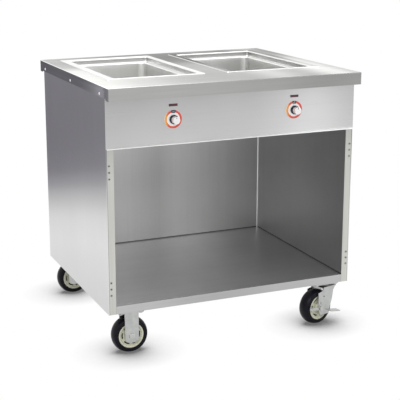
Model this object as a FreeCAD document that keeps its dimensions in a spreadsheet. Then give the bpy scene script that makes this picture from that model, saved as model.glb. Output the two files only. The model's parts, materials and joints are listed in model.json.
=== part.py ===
import FreeCAD, Part
import math
import os
import re

import Sketcher

# Heated serving trolley: a stainless cabinet with an open front, two drawn food wells let into
# the worktop, a dial and a pilot lamp for each well, two rigid casters on the left and two
# braked swivel casters on the right.
# Axes: X to the right, Y to the back, Z up. The origin lies on the floor below the middle.
# Every size is in millimetres and stands once in the sheet "Sizes".

SIZES = (
    # overall
    ("worktop_height", 914, "floor to the deck of the worktop"),
    ("overall_width", 914, "worktop, outside of one side flange to the other"),
    ("overall_depth", 800, "worktop, front nosing to back nosing"),
    ("overhang", 43, "worktop past the cabinet, front and back"),
    ("cabinet_bottom", 149, "floor to the plane that the casters bolt to"),
    # worktop
    ("deck_gauge", 1.5, "sheet of the worktop"),
    ("nosing_height", 42, "front and back nosing"),
    ("nosing_return", 14, "strip turned in under each nosing"),
    ("side_flange", 37, "flange turned down over each side panel"),
    ("ear_head", 54, "nosing folded round the corner, at the deck"),
    ("ear_foot", 27, "nosing folded round the corner, at its lower edge"),
    ("ear_seam", 1.2, "open seam between a folded ear and the side flange"),
    ("seam_stop", 3.5, "deck to the upper end of that seam"),
    ("deck_bend", 2.5, "outside radius of the worktop's bends"),
    ("brace_width", 44, "hat channel below the deck, between the wells"),
    ("brace_depth", 25, "hat channel below the deck, height"),
    # cabinet sheets
    ("panel_gauge", 1.2, "sheet of the panels, posts and shelf"),
    ("liner_gauge", 1, "sheet of the inner liners and bay floor"),
    ("panel_hem", 12, "edge of a side panel folded back on itself"),
    ("post_reach", 26, "outside of the cabinet to the inner edge of a front post"),
    ("post_leg", 22, "leg of a front post, turned to the back"),
    ("back_cavity", 38, "outer face of the back panel to the liner's face"),
    ("shelf_height", 28, "bottom shelf, depth of its turned-down edge"),
    ("shelf_return", 5, "strip turned in under the shelf's front and back edge"),
    ("fascia_drop", 202, "deck to the lower edge of the fascia"),
    ("lip_depth", 13, "drip lip, forward of the fascia"),
    ("lip_thickness", 2.4, "drip lip, folded double"),
    ("bay_floor_lift", 3, "lower edge of the fascia to the bay floor"),
    ("channel_width", 108, "caster channel in the shelf"),
    ("channel_gauge", 3, "steel of the caster channels"),
    ("fit_gap", 0.3, "gap between pieces that are fitted but don't touch"),
    # food wells
    ("well_offset", 216, "middle of the worktop to the middle of a well"),
    ("well_shift", 51, "middle of the worktop back to the middle of the wells"),
    ("well_width", 308, "upper opening of a well, across"),
    ("well_length", 511, "upper opening of a well, front to back"),
    ("well_gauge", 1.2, "drawn sheet of a well"),
    ("rim_height", 2.5, "rim of a well above the deck"),
    ("rim_outer", 30, "rim beside the cabinet's side"),
    ("rim_inner", 40, "rim beside the other well"),
    ("rim_front", 14, "rim at the front"),
    ("rim_back", 28, "rim at the back"),
    ("rim_corner", 8, "outer corner of a rim, in plan"),
    ("recess_depth", 17, "deck to the ledge inside a well"),
    ("recess_corner", 9, "corner of the recess, in plan"),
    ("ledge_width", 16, "ledge inside a well, for a rack or adaptor bars"),
    ("pan_depth", 150, "ledge to the bottom of a well"),
    ("pan_corner", 28, "upright corner of a well"),
    ("pan_draft", 2, "slope of the drawn walls, in degrees"),
    ("pan_foot", 18, "radius round the bottom of a well"),
    ("lip_radius", 4, "rounding of the rim and of the ledge"),
    ("cutout_gap", 1, "deck cut-out round the recess, each side"),
    # what lies round each well
    ("insulation_wall", 34, "mineral wool beside a well"),
    ("insulation_end", 22, "mineral wool before and behind a well"),
    ("jacket_gauge", 1, "sheet jacket round the wool"),
    ("rod_diameter", 8, "sheathed heating rod"),
    ("rod_spacing", 56, "spacing of the heating rod's runs"),
    ("rod_runs", 4, "runs of the heating rod"),
    ("rod_reach", 190, "middle of a well to the bend of the rod"),
    ("rod_tail", 40, "ends of the rod, past the front of the jacket"),
    # controls
    ("knob_offset", 222, "middle of the trolley to a dial"),
    ("knob_drop", 120, "deck to the middle of a dial"),
    ("dial_diameter", 62, "printed dial plate"),
    ("dial_gauge", 0.8, "printed dial plate, thickness"),
    ("neck_diameter", 9.6, "threaded neck of a thermostat"),
    ("neck_reach", 4.4, "neck, forward of the fascia's back"),
    ("shaft_diameter", 6, "thermostat shaft"),
    ("shaft_flat", 1.5, "depth of the flat on the shaft"),
    ("shaft_clearance", 0.05, "running clearance round the shaft, radial"),
    ("can_diameter", 44, "round body of a thermostat"),
    ("can_depth", 30, "round body of a thermostat"),
    ("can_end", 6, "closed end of a thermostat behind its shaft"),
    ("blade_width", 6, "terminal blade of a thermostat"),
    ("blade_gauge", 0.8, "terminal blade of a thermostat, thickness"),
    ("blade_reach", 8, "terminal blade of a thermostat, length"),
    ("skirt_diameter", 36, "black skirt of a knob"),
    ("skirt_depth", 12, "black skirt of a knob"),
    ("skirt_round", 3, "rounding of the skirt's shoulder"),
    ("cap_diameter", 27, "bright cap of a knob"),
    ("cap_round", 1.5, "rounding of the cap's rim"),
    ("cap_wall", 3.5, "face of a knob to the bottom of its bore"),
    ("knob_reach", 30, "face of a knob, forward of the dial plate"),
    ("knob_gap", 0.5, "dial plate to the knob"),
    ("neck_spare", 1, "thermostat neck to the hollow in the knob"),
    ("lamp_rise", 47, "middle of a dial to the middle of its lamp"),
    ("lamp_width", 30, "pilot lamp bezel"),
    ("lamp_height", 8, "pilot lamp bezel"),
    ("lamp_proud", 1.6, "pilot lamp bezel, forward of the fascia"),
    ("lamp_body", 18, "pilot lamp, behind the fascia"),
    ("lamp_gap", 0.1, "pilot lamp body to the edge of its slot"),
    # fasteners
    ("screw_front", 90, "front of the worktop to the first side flange screw"),
    ("screw_back", 68, "back of the worktop to the last side flange screw"),
    ("screw_drop", 27, "deck to the side flange screws"),
    ("screw_diameter", 4.2, "side flange screw, shank"),
    ("screw_head", 10, "side flange screw, truss head"),
    ("screw_dome", 2.6, "side flange screw, height of the head"),
    ("screw_end", 6, "side flange screw, past the side panel"),
    ("screw_point", 1.5, "side flange screw, length of its point"),
    ("insert_inset", 10, "outside of the cabinet to the hinge inserts"),
    ("insert_spacing", 22, "hinge inserts in a group of three"),
    ("insert_rise", 62, "bottom shelf to the middle of a lower group"),
    ("insert_drop", 77, "fascia to the middle of an upper group"),
    ("insert_body", 6.6, "rivet nut, barrel"),
    ("insert_bore", 4.2, "rivet nut, thread core"),
    ("insert_flange", 8.6, "rivet nut, flange"),
    ("insert_proud", 0.6, "rivet nut, flange thickness"),
    ("insert_length", 11, "rivet nut, barrel length behind its flange"),
    ("insert_collar", 2.5, "rivet nut, crimped collar"),
    ("gland_rise", 33, "bay floor to the cord gland, in the gap between the jackets"),
    ("gland_bore", 10, "way through the cord gland"),
    ("gland_thread", 20, "threaded neck of the cord gland"),
    ("gland_flats", 24, "hexagons of the cord gland, across their flats"),
    ("gland_reach", 20, "cord gland, past the back panel"),
    ("gland_nut", 5, "hexagons of the cord gland, thickness"),
    ("gland_stub", 8, "threaded neck of the cord gland, inside the back panel"),
    ("gland_round", 3, "rounding of the cord gland's tip"),
    # casters
    ("caster_inset_x", 80.5, "side of the cabinet to the middle of a caster plate"),
    ("caster_inset_y", 31, "front or back of the cabinet to the middle of a caster plate"),
    ("wheel_diameter", 127, "tyre, over the crown"),
    ("tyre_width", 46, "tyre, side to side"),
    ("tyre_shoulder", 115, "tyre, diameter at the shoulders"),
    ("tyre_lean", 2, "slope of a tyre's side wall, bead to shoulder"),
    ("bead_rise", 2.5, "bevel beside a tyre's bead, upwards"),
    ("bead_step", 1, "bevel beside a tyre's bead, across"),
    ("hub_diameter", 89, "hub, diameter under the tyre"),
    ("hub_width", 43, "hub, rim side to side"),
    ("hub_rim", 6.5, "hub, thickness of its rim"),
    ("hub_web_face", 18, "middle of the hub to the face of a web"),
    ("hub_web", 4, "thickness of a hub web"),
    ("hub_boss", 28, "hub boss"),
    ("hub_bore", 16, "bore of the hub"),
    ("slot_circle", 62, "hub slots, diameter of their middle line"),
    ("slot_width", 5, "hub slots"),
    ("slot_sweep", 34, "hub slots, length as an angle in degrees"),
    ("slot_count", 6, "hub slots"),
    ("fork_width", 60, "fork, outside of one leg to the other"),
    ("fork_gauge", 3.5, "plate of the forks"),
    ("plate_length", 92, "caster plate, across the trolley"),
    ("plate_corner", 7, "caster plate, corner radius"),
    ("bolt_span_x", 72, "caster bolts, across the trolley"),
    ("bolt_span_y", 38, "caster bolts, front to back"),
    ("bolt_diameter", 8, "caster bolts"),
    ("bolt_flats", 13, "caster bolt head across its flats"),
    ("bolt_head", 5, "caster bolt head, height"),
    ("bolt_nut", 6, "caster bolt nut, height"),
    ("bolt_end", 8, "caster bolt, past the channel"),
    ("leg_width", 49, "leg of a rigid fork"),
    ("leg_below", 23, "leg of a rigid fork, below the axle"),
    ("leg_round", 18, "lower corners of a rigid fork's leg"),
    ("axle_diameter", 10, "axle bolt"),
    ("axle_flats", 17, "axle bolt head across its flats"),
    ("axle_head", 4, "axle bolt head, height"),
    ("axle_nut", 5, "axle bolt nut, height"),
    ("axle_end", 2, "axle bolt, past its nut"),
    ("lever_sleeve", 14, "sleeve that a brake lever turns on"),
    ("axle_clearance", 0.05, "running clearance of hub, lever and shafts, radial"),
    # swivel casters
    ("swivel_trail", 40, "kingpin to the axle"),
    ("front_swivel", 15, "rest angle of the front swivel caster, in degrees"),
    ("rear_swivel", -12, "rest angle of the rear swivel caster, in degrees"),
    ("boss_diameter", 54, "pressed boss below a swivel plate"),
    ("boss_depth", 2.5, "pressed boss below a swivel plate"),
    ("bearing_diameter", 62, "swivel bearing"),
    ("bearing_height", 5, "swivel bearing"),
    ("bearing_gap", 0.3, "swivel bearing to the fork crown"),
    ("bearing_edge", 2, "bevel of the swivel bearing"),
    ("kingpin_diameter", 12, "kingpin"),
    ("kingpin_head", 20, "head of the kingpin, below the crown"),
    ("kingpin_foot", 4, "head of the kingpin, height"),
    ("crown_rear", 34, "fork crown, kingpin to its rear edge"),
    ("crown_front", 37, "fork crown, kingpin to its front edge"),
    ("leg_rear", 12, "swivel leg, axle to its rear edge"),
    ("leg_front", 46, "swivel leg, axle to its front edge"),
    ("leg_waist", 58, "swivel leg, axle up to where it narrows"),
    ("leg_shoulder", 61, "swivel leg, axle to its front edge at the waist"),
    ("leg_knee", 20, "swivel leg, axle up to the bend of its front edge"),
    ("leg_knee_front", 54, "swivel leg, axle to its front edge at that bend"),
    ("leg_toe", 12, "swivel leg, round of its lower front corner"),
    ("leg_hole", 5, "small holes in the swivel legs"),
    ("leg_hole_low", 19, "axle up to the lower hole"),
    ("leg_hole_high", 41, "axle up to the upper hole"),
    ("leg_hole_step", 15, "lower hole to the upper one, towards the kingpin"),
    # brake levers
    ("lever_gauge", 2.5, "plate of the brake lever"),
    ("lever_lobe", 13, "brake lever, round about the axle"),
    ("lever_rear", 54, "brake lever, axle to the release tab"),
    ("lever_front", 38, "brake lever, axle to the foot of the pedal"),
    ("lever_belly", 26, "brake lever, axle down to its lower edge"),
    ("belly_rear", 6, "brake lever, axle back to where its lower edge starts"),
    ("pedal_level", 9, "brake lever, axle down to the root of the pedal"),
    ("pedal_root", 12, "brake pedal, behind the lever's foot"),
    ("pedal_drop", 9, "brake pedal, fall to its tip"),
    ("pedal_length", 38, "brake pedal, past the lever's foot"),
    ("pedal_width", 24, "brake pedal"),
    ("tab_width", 11, "release tab"),
    ("tab_low", 2, "axle up to the lower edge of the release tab"),
    ("tab_high", 12, "axle up to the upper edge of the release tab"),
)

# Sizes that follow from the ones above and that several pieces share.
DERIVED = (
    ("cabinet_side", "overall_width / 2 - deck_gauge", "middle to the face of a side panel"),
    ("cabinet_face", "overall_depth / 2 - overhang", "middle to the front or back of the cabinet"),
    ("deck_under", "worktop_height - deck_gauge", "underside of the deck"),
    ("deck_half", "overall_depth / 2", "middle to the face of a nosing"),
    ("width_half", "overall_width / 2", "middle to the face of a side flange"),
    ("post_inner", "cabinet_side - post_reach", "middle to the inner edge of a post"),
    ("shelf_top", "cabinet_bottom + shelf_height", "top of the bottom shelf"),
    ("liner_back", "cabinet_face - back_cavity", "middle to the face of the back liner"),
    ("fascia_bottom", "worktop_height - fascia_drop", "lower edge of the fascia"),
    ("knob_level", "worktop_height - knob_drop", "middle of the dials"),
    ("bay_floor", "fascia_bottom + bay_floor_lift", "underside of the bay floor"),
    ("insert_low", "shelf_top + insert_rise", "middle of a lower group of inserts"),
    ("insert_high", "fascia_bottom - insert_drop", "middle of an upper group of inserts"),
    ("gland_level", "bay_floor + gland_rise", "middle of the cord gland"),
    ("screw_first", "screw_front - deck_half", "first side flange screw"),
    ("screw_last", "deck_half - screw_back", "last side flange screw"),
    ("caster_x", "cabinet_side - caster_inset_x", "middle to a caster plate, across"),
    ("caster_y", "cabinet_face - caster_inset_y", "middle to a caster plate, lengthways"),
    ("bay_top", "bay_floor + liner_gauge", "top of the bay floor"),
    ("ledge_level", "worktop_height - recess_depth", "top of the pan ledge"),
    ("pan_width", "well_width - 2 * ledge_width", "well below its ledge, across"),
    ("pan_length", "well_length - 2 * ledge_width", "well below its ledge, front to back"),
    ("pan_under", "ledge_level - pan_depth - well_gauge", "underside of a well"),
    ("wool_half_x", "pan_width / 2 + well_gauge + fit_gap + insulation_wall", "wool, across"),
    ("wool_half_y", "pan_length / 2 + well_gauge + fit_gap + insulation_end", "wool, lengthways"),
    ("wool_bottom", "bay_top + jacket_gauge", "underside of the wool"),
    ("wool_top", "ledge_level - well_gauge - fit_gap", "top of the wool"),
    ("rod_level", "pan_under - rod_diameter / 2", "middle of the heating rod"),
    ("wheel_radius", "wheel_diameter / 2", "floor to the axles"),
    ("mount_rise", "cabinet_bottom - wheel_radius", "axle to the caster mounting plane"),
    ("crown_top", "mount_rise - fork_gauge - boss_depth - bearing_height - bearing_gap",
     "axle to the top of a fork crown"),
    ("fork_half", "fork_width / 2", "middle of a fork to the outside of a leg"),
    ("fork_inside", "fork_half - fork_gauge", "middle of a fork to the inside of a leg"),
    ("sleeve_radius", "hub_bore / 2 - axle_clearance", "spanner bushing, outside"),
    ("lever_face", "fork_half + fit_gap + lever_gauge", "middle of a fork to the lever's face"),
    ("mitre_slope", "(ear_head - ear_foot) / (nosing_height - deck_gauge)", "ear's slanted edge"),
    ("dial_face", "panel_gauge + dial_gauge", "fascia's back to the dial plate's face"),
)

doc = FreeCAD.newDocument("serving_trolley")
HOME = {}
PARTS = []


def fill_sheet(name, rows):
    """A sheet with a name, a value and a note in each row; the value's alias is the name."""
    page = doc.addObject("Spreadsheet::Sheet", name)
    for row, (alias, value, note) in enumerate(rows, start=1):
        text = "=" + link(value) if isinstance(value, str) else str(value)
        page.set("A%d" % row, alias)
        page.set("B%d" % row, text)
        page.set("C%d" % row, note)
        page.setAlias("B%d" % row, alias)
        HOME[alias] = name
    doc.recompute()
    return page


def link(text):
    """An expression with each size's name led to the sheet that holds it."""
    def home(word):
        found = HOME.get(word.group(0))
        return found + "." + word.group(0) if found else word.group(0)
    return re.sub(r"[a-z][a-z_]*", home, text)


def number(text):
    """The value of an expression now."""
    return float(sizes.evalExpression(link(text)))


sizes = fill_sheet("Sizes", SIZES)
derived = fill_sheet("Derived", DERIVED)


def body(label, keep=True):
    """A new body; one that is kept is exported under its label."""
    made = doc.addObject("PartDesign::Body", label)
    made.Label = label
    if keep:
        PARTS.append(made)
    return made


def origin(owner, role):
    """The plane or axis of a body's own origin."""
    return next(item for item in owner.Origin.OriginFeatures if item.Role == role)


def sketch(owner, plane, level="0"):
    """An empty sketch on a plane of the body, moved along the plane's normal."""
    made = owner.newObject("Sketcher::SketchObject", "Sketch")
    made.AttachmentSupport = (origin(owner, plane + "_Plane"), [""])
    made.MapMode = "FlatFace"
    if level != "0":
        made.setExpression("AttachmentOffset.Base.z", link(level))
    return made


def pin_down(target, item, position, across, up):
    """Ties a point of the sketch to its two coordinates."""
    for kind, axis, text in (("DistanceX", -2, across), ("DistanceY", -1, up)):
        if text == "0":
            target.addConstraint(Sketcher.Constraint("PointOnObject", item, position, axis))
            continue
        row = target.addConstraint(
            Sketcher.Constraint(kind, -1, 1, item, position, number(text)))
        target.setExpression("Constraints[%d]" % row, link(text))


def outline(target, points, rounds=None):
    """A closed outline; an edge in rounds bows outwards, or inwards if its radius is led by ~."""
    rounds = rounds or {}
    spots = [FreeCAD.Vector(number(across), number(up), 0) for across, up in points]
    count = len(spots)
    area = sum(spots[k - 1].x * spots[k].y - spots[k].x * spots[k - 1].y for k in range(count))
    turn = 1 if area > 0 else -1
    first = target.GeometryCount
    starts = []
    for k in range(count):
        here, there = spots[k], spots[(k + 1) % count]
        if k not in rounds:
            target.addGeometry(Part.LineSegment(here, there))
            starts.append(1)
            continue
        hollow = rounds[k].startswith("~")
        side = -turn if hollow else turn
        radius = number(rounds[k].lstrip("~"))
        chord = there - here
        rise = math.sqrt(max(radius ** 2 - chord.Length ** 2 / 4, 0))
        middle = (here + there) / 2
        centre = middle + FreeCAD.Vector(-chord.y, chord.x, 0).normalize() * rise * side
        begin, end = (here, there) if side > 0 else (there, here)
        angles = [math.atan2(p.y - centre.y, p.x - centre.x) for p in (begin, end)]
        circle = Part.Circle(centre, FreeCAD.Vector(0, 0, 1), radius)
        target.addGeometry(Part.ArcOfCircle(circle, angles[0], angles[1]))
        starts.append(1 if side > 0 else 2)
    for k in range(count):
        after = (k + 1) % count
        target.addConstraint(Sketcher.Constraint(
            "Coincident", first + k, 3 - starts[k], first + after, starts[after]))
    for k, (across, up) in enumerate(points):
        pin_down(target, first + k, starts[k], across, up)
    for k, text in rounds.items():
        text = text.lstrip("~")
        row = target.addConstraint(Sketcher.Constraint("Radius", first + k, number(text)))
        target.setExpression("Constraints[%d]" % row, link(text))
    return target


def circle(target, across, up, diameter):
    """A circle of the sketch."""
    spot = FreeCAD.Vector(number(across), number(up), 0)
    normal = FreeCAD.Vector(0, 0, 1)
    item = target.addGeometry(Part.Circle(spot, normal, number(diameter) / 2))
    pin_down(target, item, 3, across, up)
    row = target.addConstraint(Sketcher.Constraint("Diameter", item, number(diameter)))
    target.setExpression("Constraints[%d]" % row, link(diameter))
    return target


def rectangle(left, right, low, high):
    """The corners of a rectangle."""
    return [(left, low), (right, low), (right, high), (left, high)]


def softened(left, right, low, high, radius):
    """The points and rounds of a rectangle with rounded corners."""
    points = [
        (left + " + " + radius, low), (right + " - " + radius, low),
        (right, low + " + " + radius), (right, high + " - " + radius),
        (right + " - " + radius, high), (left + " + " + radius, high),
        (left, high + " - " + radius), (left, low + " + " + radius),
    ]
    return points, {1: radius, 3: radius, 5: radius, 7: radius}


def between(owner, plane, low, high, draw, cut=False, draft=None, from_top=False):
    """Adds or cuts the sketch that draw makes, from one level of the plane's axis to another.

    The XZ plane looks along -Y, so there its sketch lies at the higher level.
    from_top puts the sketch of the XY plane at the higher level too, for a wall with draft.
    """
    against = plane == "XZ" or from_top
    level = high if against else low
    if plane == "XZ":
        level = "-(" + level + ")"
    base = draw(sketch(owner, plane, level))
    made = owner.newObject("PartDesign::Pocket" if cut else "PartDesign::Pad", "Step")
    made.Profile = base
    made.setExpression("Length", link("(" + high + ") - (" + low + ")"))
    along_normal = not from_top
    made.Reversed = along_normal if cut else not along_normal
    if draft:
        made.setExpression("TaperAngle", link(draft))
    return made


def spun(owner, plane, axis, draw, cut=False):
    """Adds or cuts a full turn of a sketch about an axis of the body."""
    base = draw(sketch(owner, plane))
    made = owner.newObject("PartDesign::Groove" if cut else "PartDesign::Revolution", "Turn")
    made.Profile = base
    made.ReferenceAxis = (origin(owner, axis + "_Axis"), [""])
    made.Angle = 360
    return made


def samples(edge):
    """Three points along an edge."""
    first, last = edge.ParameterRange
    return [edge.valueAt(first + share * (last - first)) for share in (0.1, 0.5, 0.9)]


def lies_on(edge, axis, *levels):
    """True where the whole edge lies at one of the levels of an axis."""
    spots = [getattr(point, axis) for point in samples(edge)]
    return any(all(abs(spot - level) < 0.02 for spot in spots) for level in levels)


def runs_along(edge, axis):
    """True where the edge is straight and parallel to an axis."""
    first, _, last = samples(edge)
    step = last - first
    return abs(abs(getattr(step, axis)) - step.Length) < 1e-6


def rounded(owner, radius, chosen, kind="Fillet"):
    """Rounds or chamfers the edges of the body that the test picks."""
    doc.recompute()
    base = owner.Tip
    names = ["Edge%d" % n for n, edge in enumerate(base.Shape.Edges, start=1) if chosen(edge)]
    if not names:
        raise ValueError("no edge to round on " + owner.Label)
    made = owner.newObject("PartDesign::" + kind, "Round")
    made.Base = (base, names)
    made.setExpression("Radius" if kind == "Fillet" else "Size", link(radius))
    return made


def mirrored(owner, features, plane):
    """The features once more, mirrored in a plane of the body."""
    made = owner.newObject("PartDesign::Mirrored", "Mirror")
    made.Originals = features
    made.MirrorPlane = (origin(owner, plane + "_Plane"), [""])
    owner.Tip = made
    return made


def place(owner, across="0", deep="0", up="0", turn=None):
    """Puts a body in its place on the trolley."""
    if turn:
        owner.Placement = FreeCAD.Placement(
            FreeCAD.Vector(), FreeCAD.Rotation(FreeCAD.Vector(0, 0, 1), 1))
        owner.setExpression("Placement.Rotation.Angle", link(turn + " * 1deg"))
    for axis, text in (("x", across), ("y", deep), ("z", up)):
        owner.setExpression("Placement.Base." + axis, link(text))


def beside(side, inner, outer):
    """The lower and the higher level of a strip on the left (-1) or right (1) side."""
    if side < 0:
        return "-(" + outer + ")", "-(" + inner + ")"
    return inner, outer


def draw(points, rounds=None):
    """A drawer of one outline."""
    return lambda target: outline(target, points, rounds)


def draw_circle(across, up, diameter):
    """A drawer of one circle."""
    return lambda target: circle(target, across, up, diameter)


def hexagon(across, up, flats):
    """The corners of a hexagon across its flats."""
    radius = "(" + flats + ") / sqrt(3)"
    turned = ("(" + flats + ") / 2", radius + " / 2")
    return [
        (across, up + " - " + radius),
        (across + " + " + turned[0], up + " - " + turned[1]),
        (across + " + " + turned[0], up + " + " + turned[1]),
        (across, up + " + " + radius),
        (across + " - " + turned[0], up + " + " + turned[1]),
        (across + " - " + turned[0], up + " - " + turned[1]),
    ]


SIDES = (("left", -1), ("right", 1))


# ---- worktop ------------------------------------------------------------------------------

def folded_tray(owner, half, top, drop, turned, gauge, reach):
    """A sheet with its front and back edge folded down and then in, as wide as reach each way."""
    low = "(" + top + ") - (" + drop + ")"
    under = "(" + top + ") - " + gauge
    inner = "(" + half + ") - " + gauge
    inside = "(" + half + ") - (" + turned + ")"
    floor = low + " + " + gauge
    profile = [
        ("-(" + half + ")", top), ("-(" + half + ")", low), ("-(" + inside + ")", low),
        ("-(" + inside + ")", floor), ("-(" + inner + ")", floor), ("-(" + inner + ")", under),
        (inner, under), (inner, floor), (inside, floor), (inside, low), (half, low), (half, top),
    ]
    return between(owner, "YZ", "-(" + reach + ")", reach, draw(profile))


def screw_rows(target):
    """The three holes of a side flange, seen from the side."""
    for deep in ("screw_first", "(screw_first + screw_last) / 2", "screw_last"):
        circle(target, deep, "worktop_height - screw_drop", "screw_diameter + 2 * fit_gap")
    return target


def make_worktop():
    """Deck with nosings, folded ears, side flanges and the cut-outs for the wells."""
    worktop = body("worktop")
    folded_tray(worktop, "deck_half", "worktop_height", "nosing_height", "nosing_return",
                "deck_gauge", "width_half")
    foot = "(deck_half - ear_foot)"
    mitre = "(" + foot + " - (nosing_height - side_flange) * mitre_slope)"
    low_edge = "worktop_height - side_flange"
    apron = [
        ("-deck_half", "worktop_height - nosing_height"),
        ("-" + foot, "worktop_height - nosing_height"), ("-" + mitre, low_edge),
        (mitre, low_edge), (foot, "worktop_height - nosing_height"),
        ("deck_half", "worktop_height - nosing_height"),
        ("deck_half", "deck_under"), ("-deck_half", "deck_under"),
    ]
    head = "(" + mitre + " - (side_flange - seam_stop) * mitre_slope)"
    for side in (-1, 1):
        low, high = beside(side, "width_half - deck_gauge", "width_half")
        between(worktop, "YZ", low, high, draw(apron))
        for end in ("-", ""):
            seam = [
                (end + mitre, low_edge), (end + "(" + mitre + " - ear_seam)", low_edge),
                (end + "(" + head + " - ear_seam)", "worktop_height - seam_stop"),
                (end + head, "worktop_height - seam_stop"),
            ]
            between(worktop, "YZ", low, high, draw(seam), cut=True)
    between(worktop, "YZ", "-width_half", "width_half", screw_rows, cut=True)
    for side in ("-1", "1"):
        half = "(well_width / 2 + well_gauge + cutout_gap)"
        deep = "(well_length / 2 + well_gauge + cutout_gap)"
        middle = side + " * well_offset"
        points, rounds = softened(
            middle + " - " + half, middle + " + " + half,
            "well_shift - " + deep, "well_shift + " + deep, "recess_corner")
        between(worktop, "XY", "deck_under", "worktop_height", draw(points, rounds), cut=True)
    top, half, width = number("worktop_height"), number("deck_half"), number("width_half")
    rounded(worktop, "deck_bend", lambda edge: (
        lies_on(edge, "z", top) and (lies_on(edge, "y", -half, half)
                                     or lies_on(edge, "x", -width, width))))


def make_brace():
    """Hat channel that stiffens the deck between the wells."""
    brace = body("deck_brace")
    foot = "brace_width / 2"
    leg = "(brace_width / 2 - panel_gauge)"
    low = "deck_under - brace_depth"
    profile = [
        ("-" + foot, "deck_under"), ("-" + foot, low), (foot, low), (foot, "deck_under"),
        (leg, "deck_under"), (leg, low + " + panel_gauge"), ("-" + leg, low + " + panel_gauge"),
        ("-" + leg, "deck_under"),
    ]
    base = "cabinet_face - panel_gauge - fit_gap"
    between(brace, "XZ", "-(" + base + ")", base, draw(profile))


# ---- cabinet ------------------------------------------------------------------------------

def make_side_panel(name, side):
    """Side sheet with its front and back edges hemmed."""
    panel = body(name + "_side_panel")
    s = "%d * " % side
    hem = "(cabinet_face - panel_hem)"
    plan = [
        (s + "cabinet_side", "-cabinet_face"), (s + "cabinet_side", "cabinet_face"),
        (s + "(cabinet_side - 2 * panel_gauge)", "cabinet_face"),
        (s + "(cabinet_side - 2 * panel_gauge)", hem),
        (s + "(cabinet_side - panel_gauge)", hem),
        (s + "(cabinet_side - panel_gauge)", "-" + hem),
        (s + "(cabinet_side - 2 * panel_gauge)", "-" + hem),
        (s + "(cabinet_side - 2 * panel_gauge)", "-cabinet_face"),
    ]
    between(panel, "XY", "cabinet_bottom", "deck_under", draw(plan))
    low, high = beside(side, "cabinet_side - panel_gauge", "cabinet_side")
    between(panel, "YZ", low, high, screw_rows, cut=True)


def make_post(name, side):
    """Front post: a channel that holds the hinge inserts, as high as the cabinet."""
    post = body(name + "_front_post")
    s = "%d * " % side
    outer, inner = "(cabinet_side - 2 * panel_gauge)", "(post_inner + liner_gauge)"
    back = "-cabinet_face + post_leg"
    web = "-cabinet_face + panel_gauge"
    plan = [
        (s + "post_inner", "-cabinet_face"), (s + outer, "-cabinet_face"), (s + outer, back),
        (s + "(" + outer + " - panel_gauge)", back), (s + "(" + outer + " - panel_gauge)", web),
        (s + "(" + inner + " + panel_gauge)", web), (s + "(" + inner + " + panel_gauge)", back),
        (s + inner, back), (s + inner, web), (s + "post_inner", web),
    ]
    between(post, "XY", "cabinet_bottom", "deck_under", draw(plan))

    def holes(target):
        for level in ("insert_low", "insert_high"):
            for step in ("-1", "0", "1"):
                circle(target, s + "(cabinet_side - insert_inset)",
                       level + " + " + step + " * insert_spacing", "insert_body + 2 * fit_gap")
        return target
    between(post, "XZ", "-cabinet_face", web, holes, cut=True)


def make_back_panel():
    """Back sheet between the side panels, with the hole of the cord gland."""
    panel = body("back_panel")
    reach = "(cabinet_side - 2 * panel_gauge)"
    face = rectangle("-" + reach, reach, "shelf_top", "deck_under")
    between(panel, "XZ", "cabinet_face - panel_gauge", "cabinet_face", draw(face))
    between(panel, "XZ", "cabinet_face - panel_gauge", "cabinet_face",
            draw_circle("0", "gland_level", "gland_thread + 2 * fit_gap"), cut=True)


def make_liners():
    """Inner sheets of the open cupboard: left, right and back."""
    web = "-cabinet_face + panel_gauge"
    for name, side in SIDES:
        liner = body(name + "_liner")
        low, high = beside(side, "post_inner", "post_inner + liner_gauge")
        wall = rectangle(web, "liner_back + liner_gauge", "shelf_top", "bay_floor")
        between(liner, "YZ", low, high, draw(wall))
    liner = body("back_liner")
    wall = rectangle("-post_inner", "post_inner", "shelf_top", "bay_floor")
    between(liner, "XZ", "liner_back", "liner_back + liner_gauge", draw(wall))


def make_shelf():
    """Bottom shelf: a tray with its edges turned down, notched round the front posts."""
    shelf = body("bottom_shelf")
    reach = "cabinet_side - 2 * panel_gauge"
    folded_tray(shelf, "cabinet_face", "shelf_top", "shelf_height", "shelf_return",
                "panel_gauge", reach)
    for side in (-1, 1):
        low, high = beside(side, reach + " - panel_gauge", reach)
        wall = rectangle("-cabinet_face + panel_gauge", "cabinet_face - panel_gauge",
                         "cabinet_bottom", "shelf_top - panel_gauge")
        between(shelf, "YZ", low, high, draw(wall))
    for side in (-1, 1):
        low, high = beside(side, "post_inner - fit_gap", "cabinet_side")
        notch = rectangle(low, high, "-cabinet_face", "-cabinet_face + post_leg + fit_gap")
        between(shelf, "XY", "cabinet_bottom", "shelf_top", draw(notch), cut=True)


def bolt_holes(target, middle_x="0", middle_y="0"):
    """The four holes of a caster plate."""
    for i in ("-1", "1"):
        for j in ("-1", "1"):
            circle(target, middle_x + " + " + i + " * bolt_span_x / 2",
                   middle_y + " + " + j + " * bolt_span_y / 2", "bolt_diameter + 2 * fit_gap")
    return target


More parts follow.
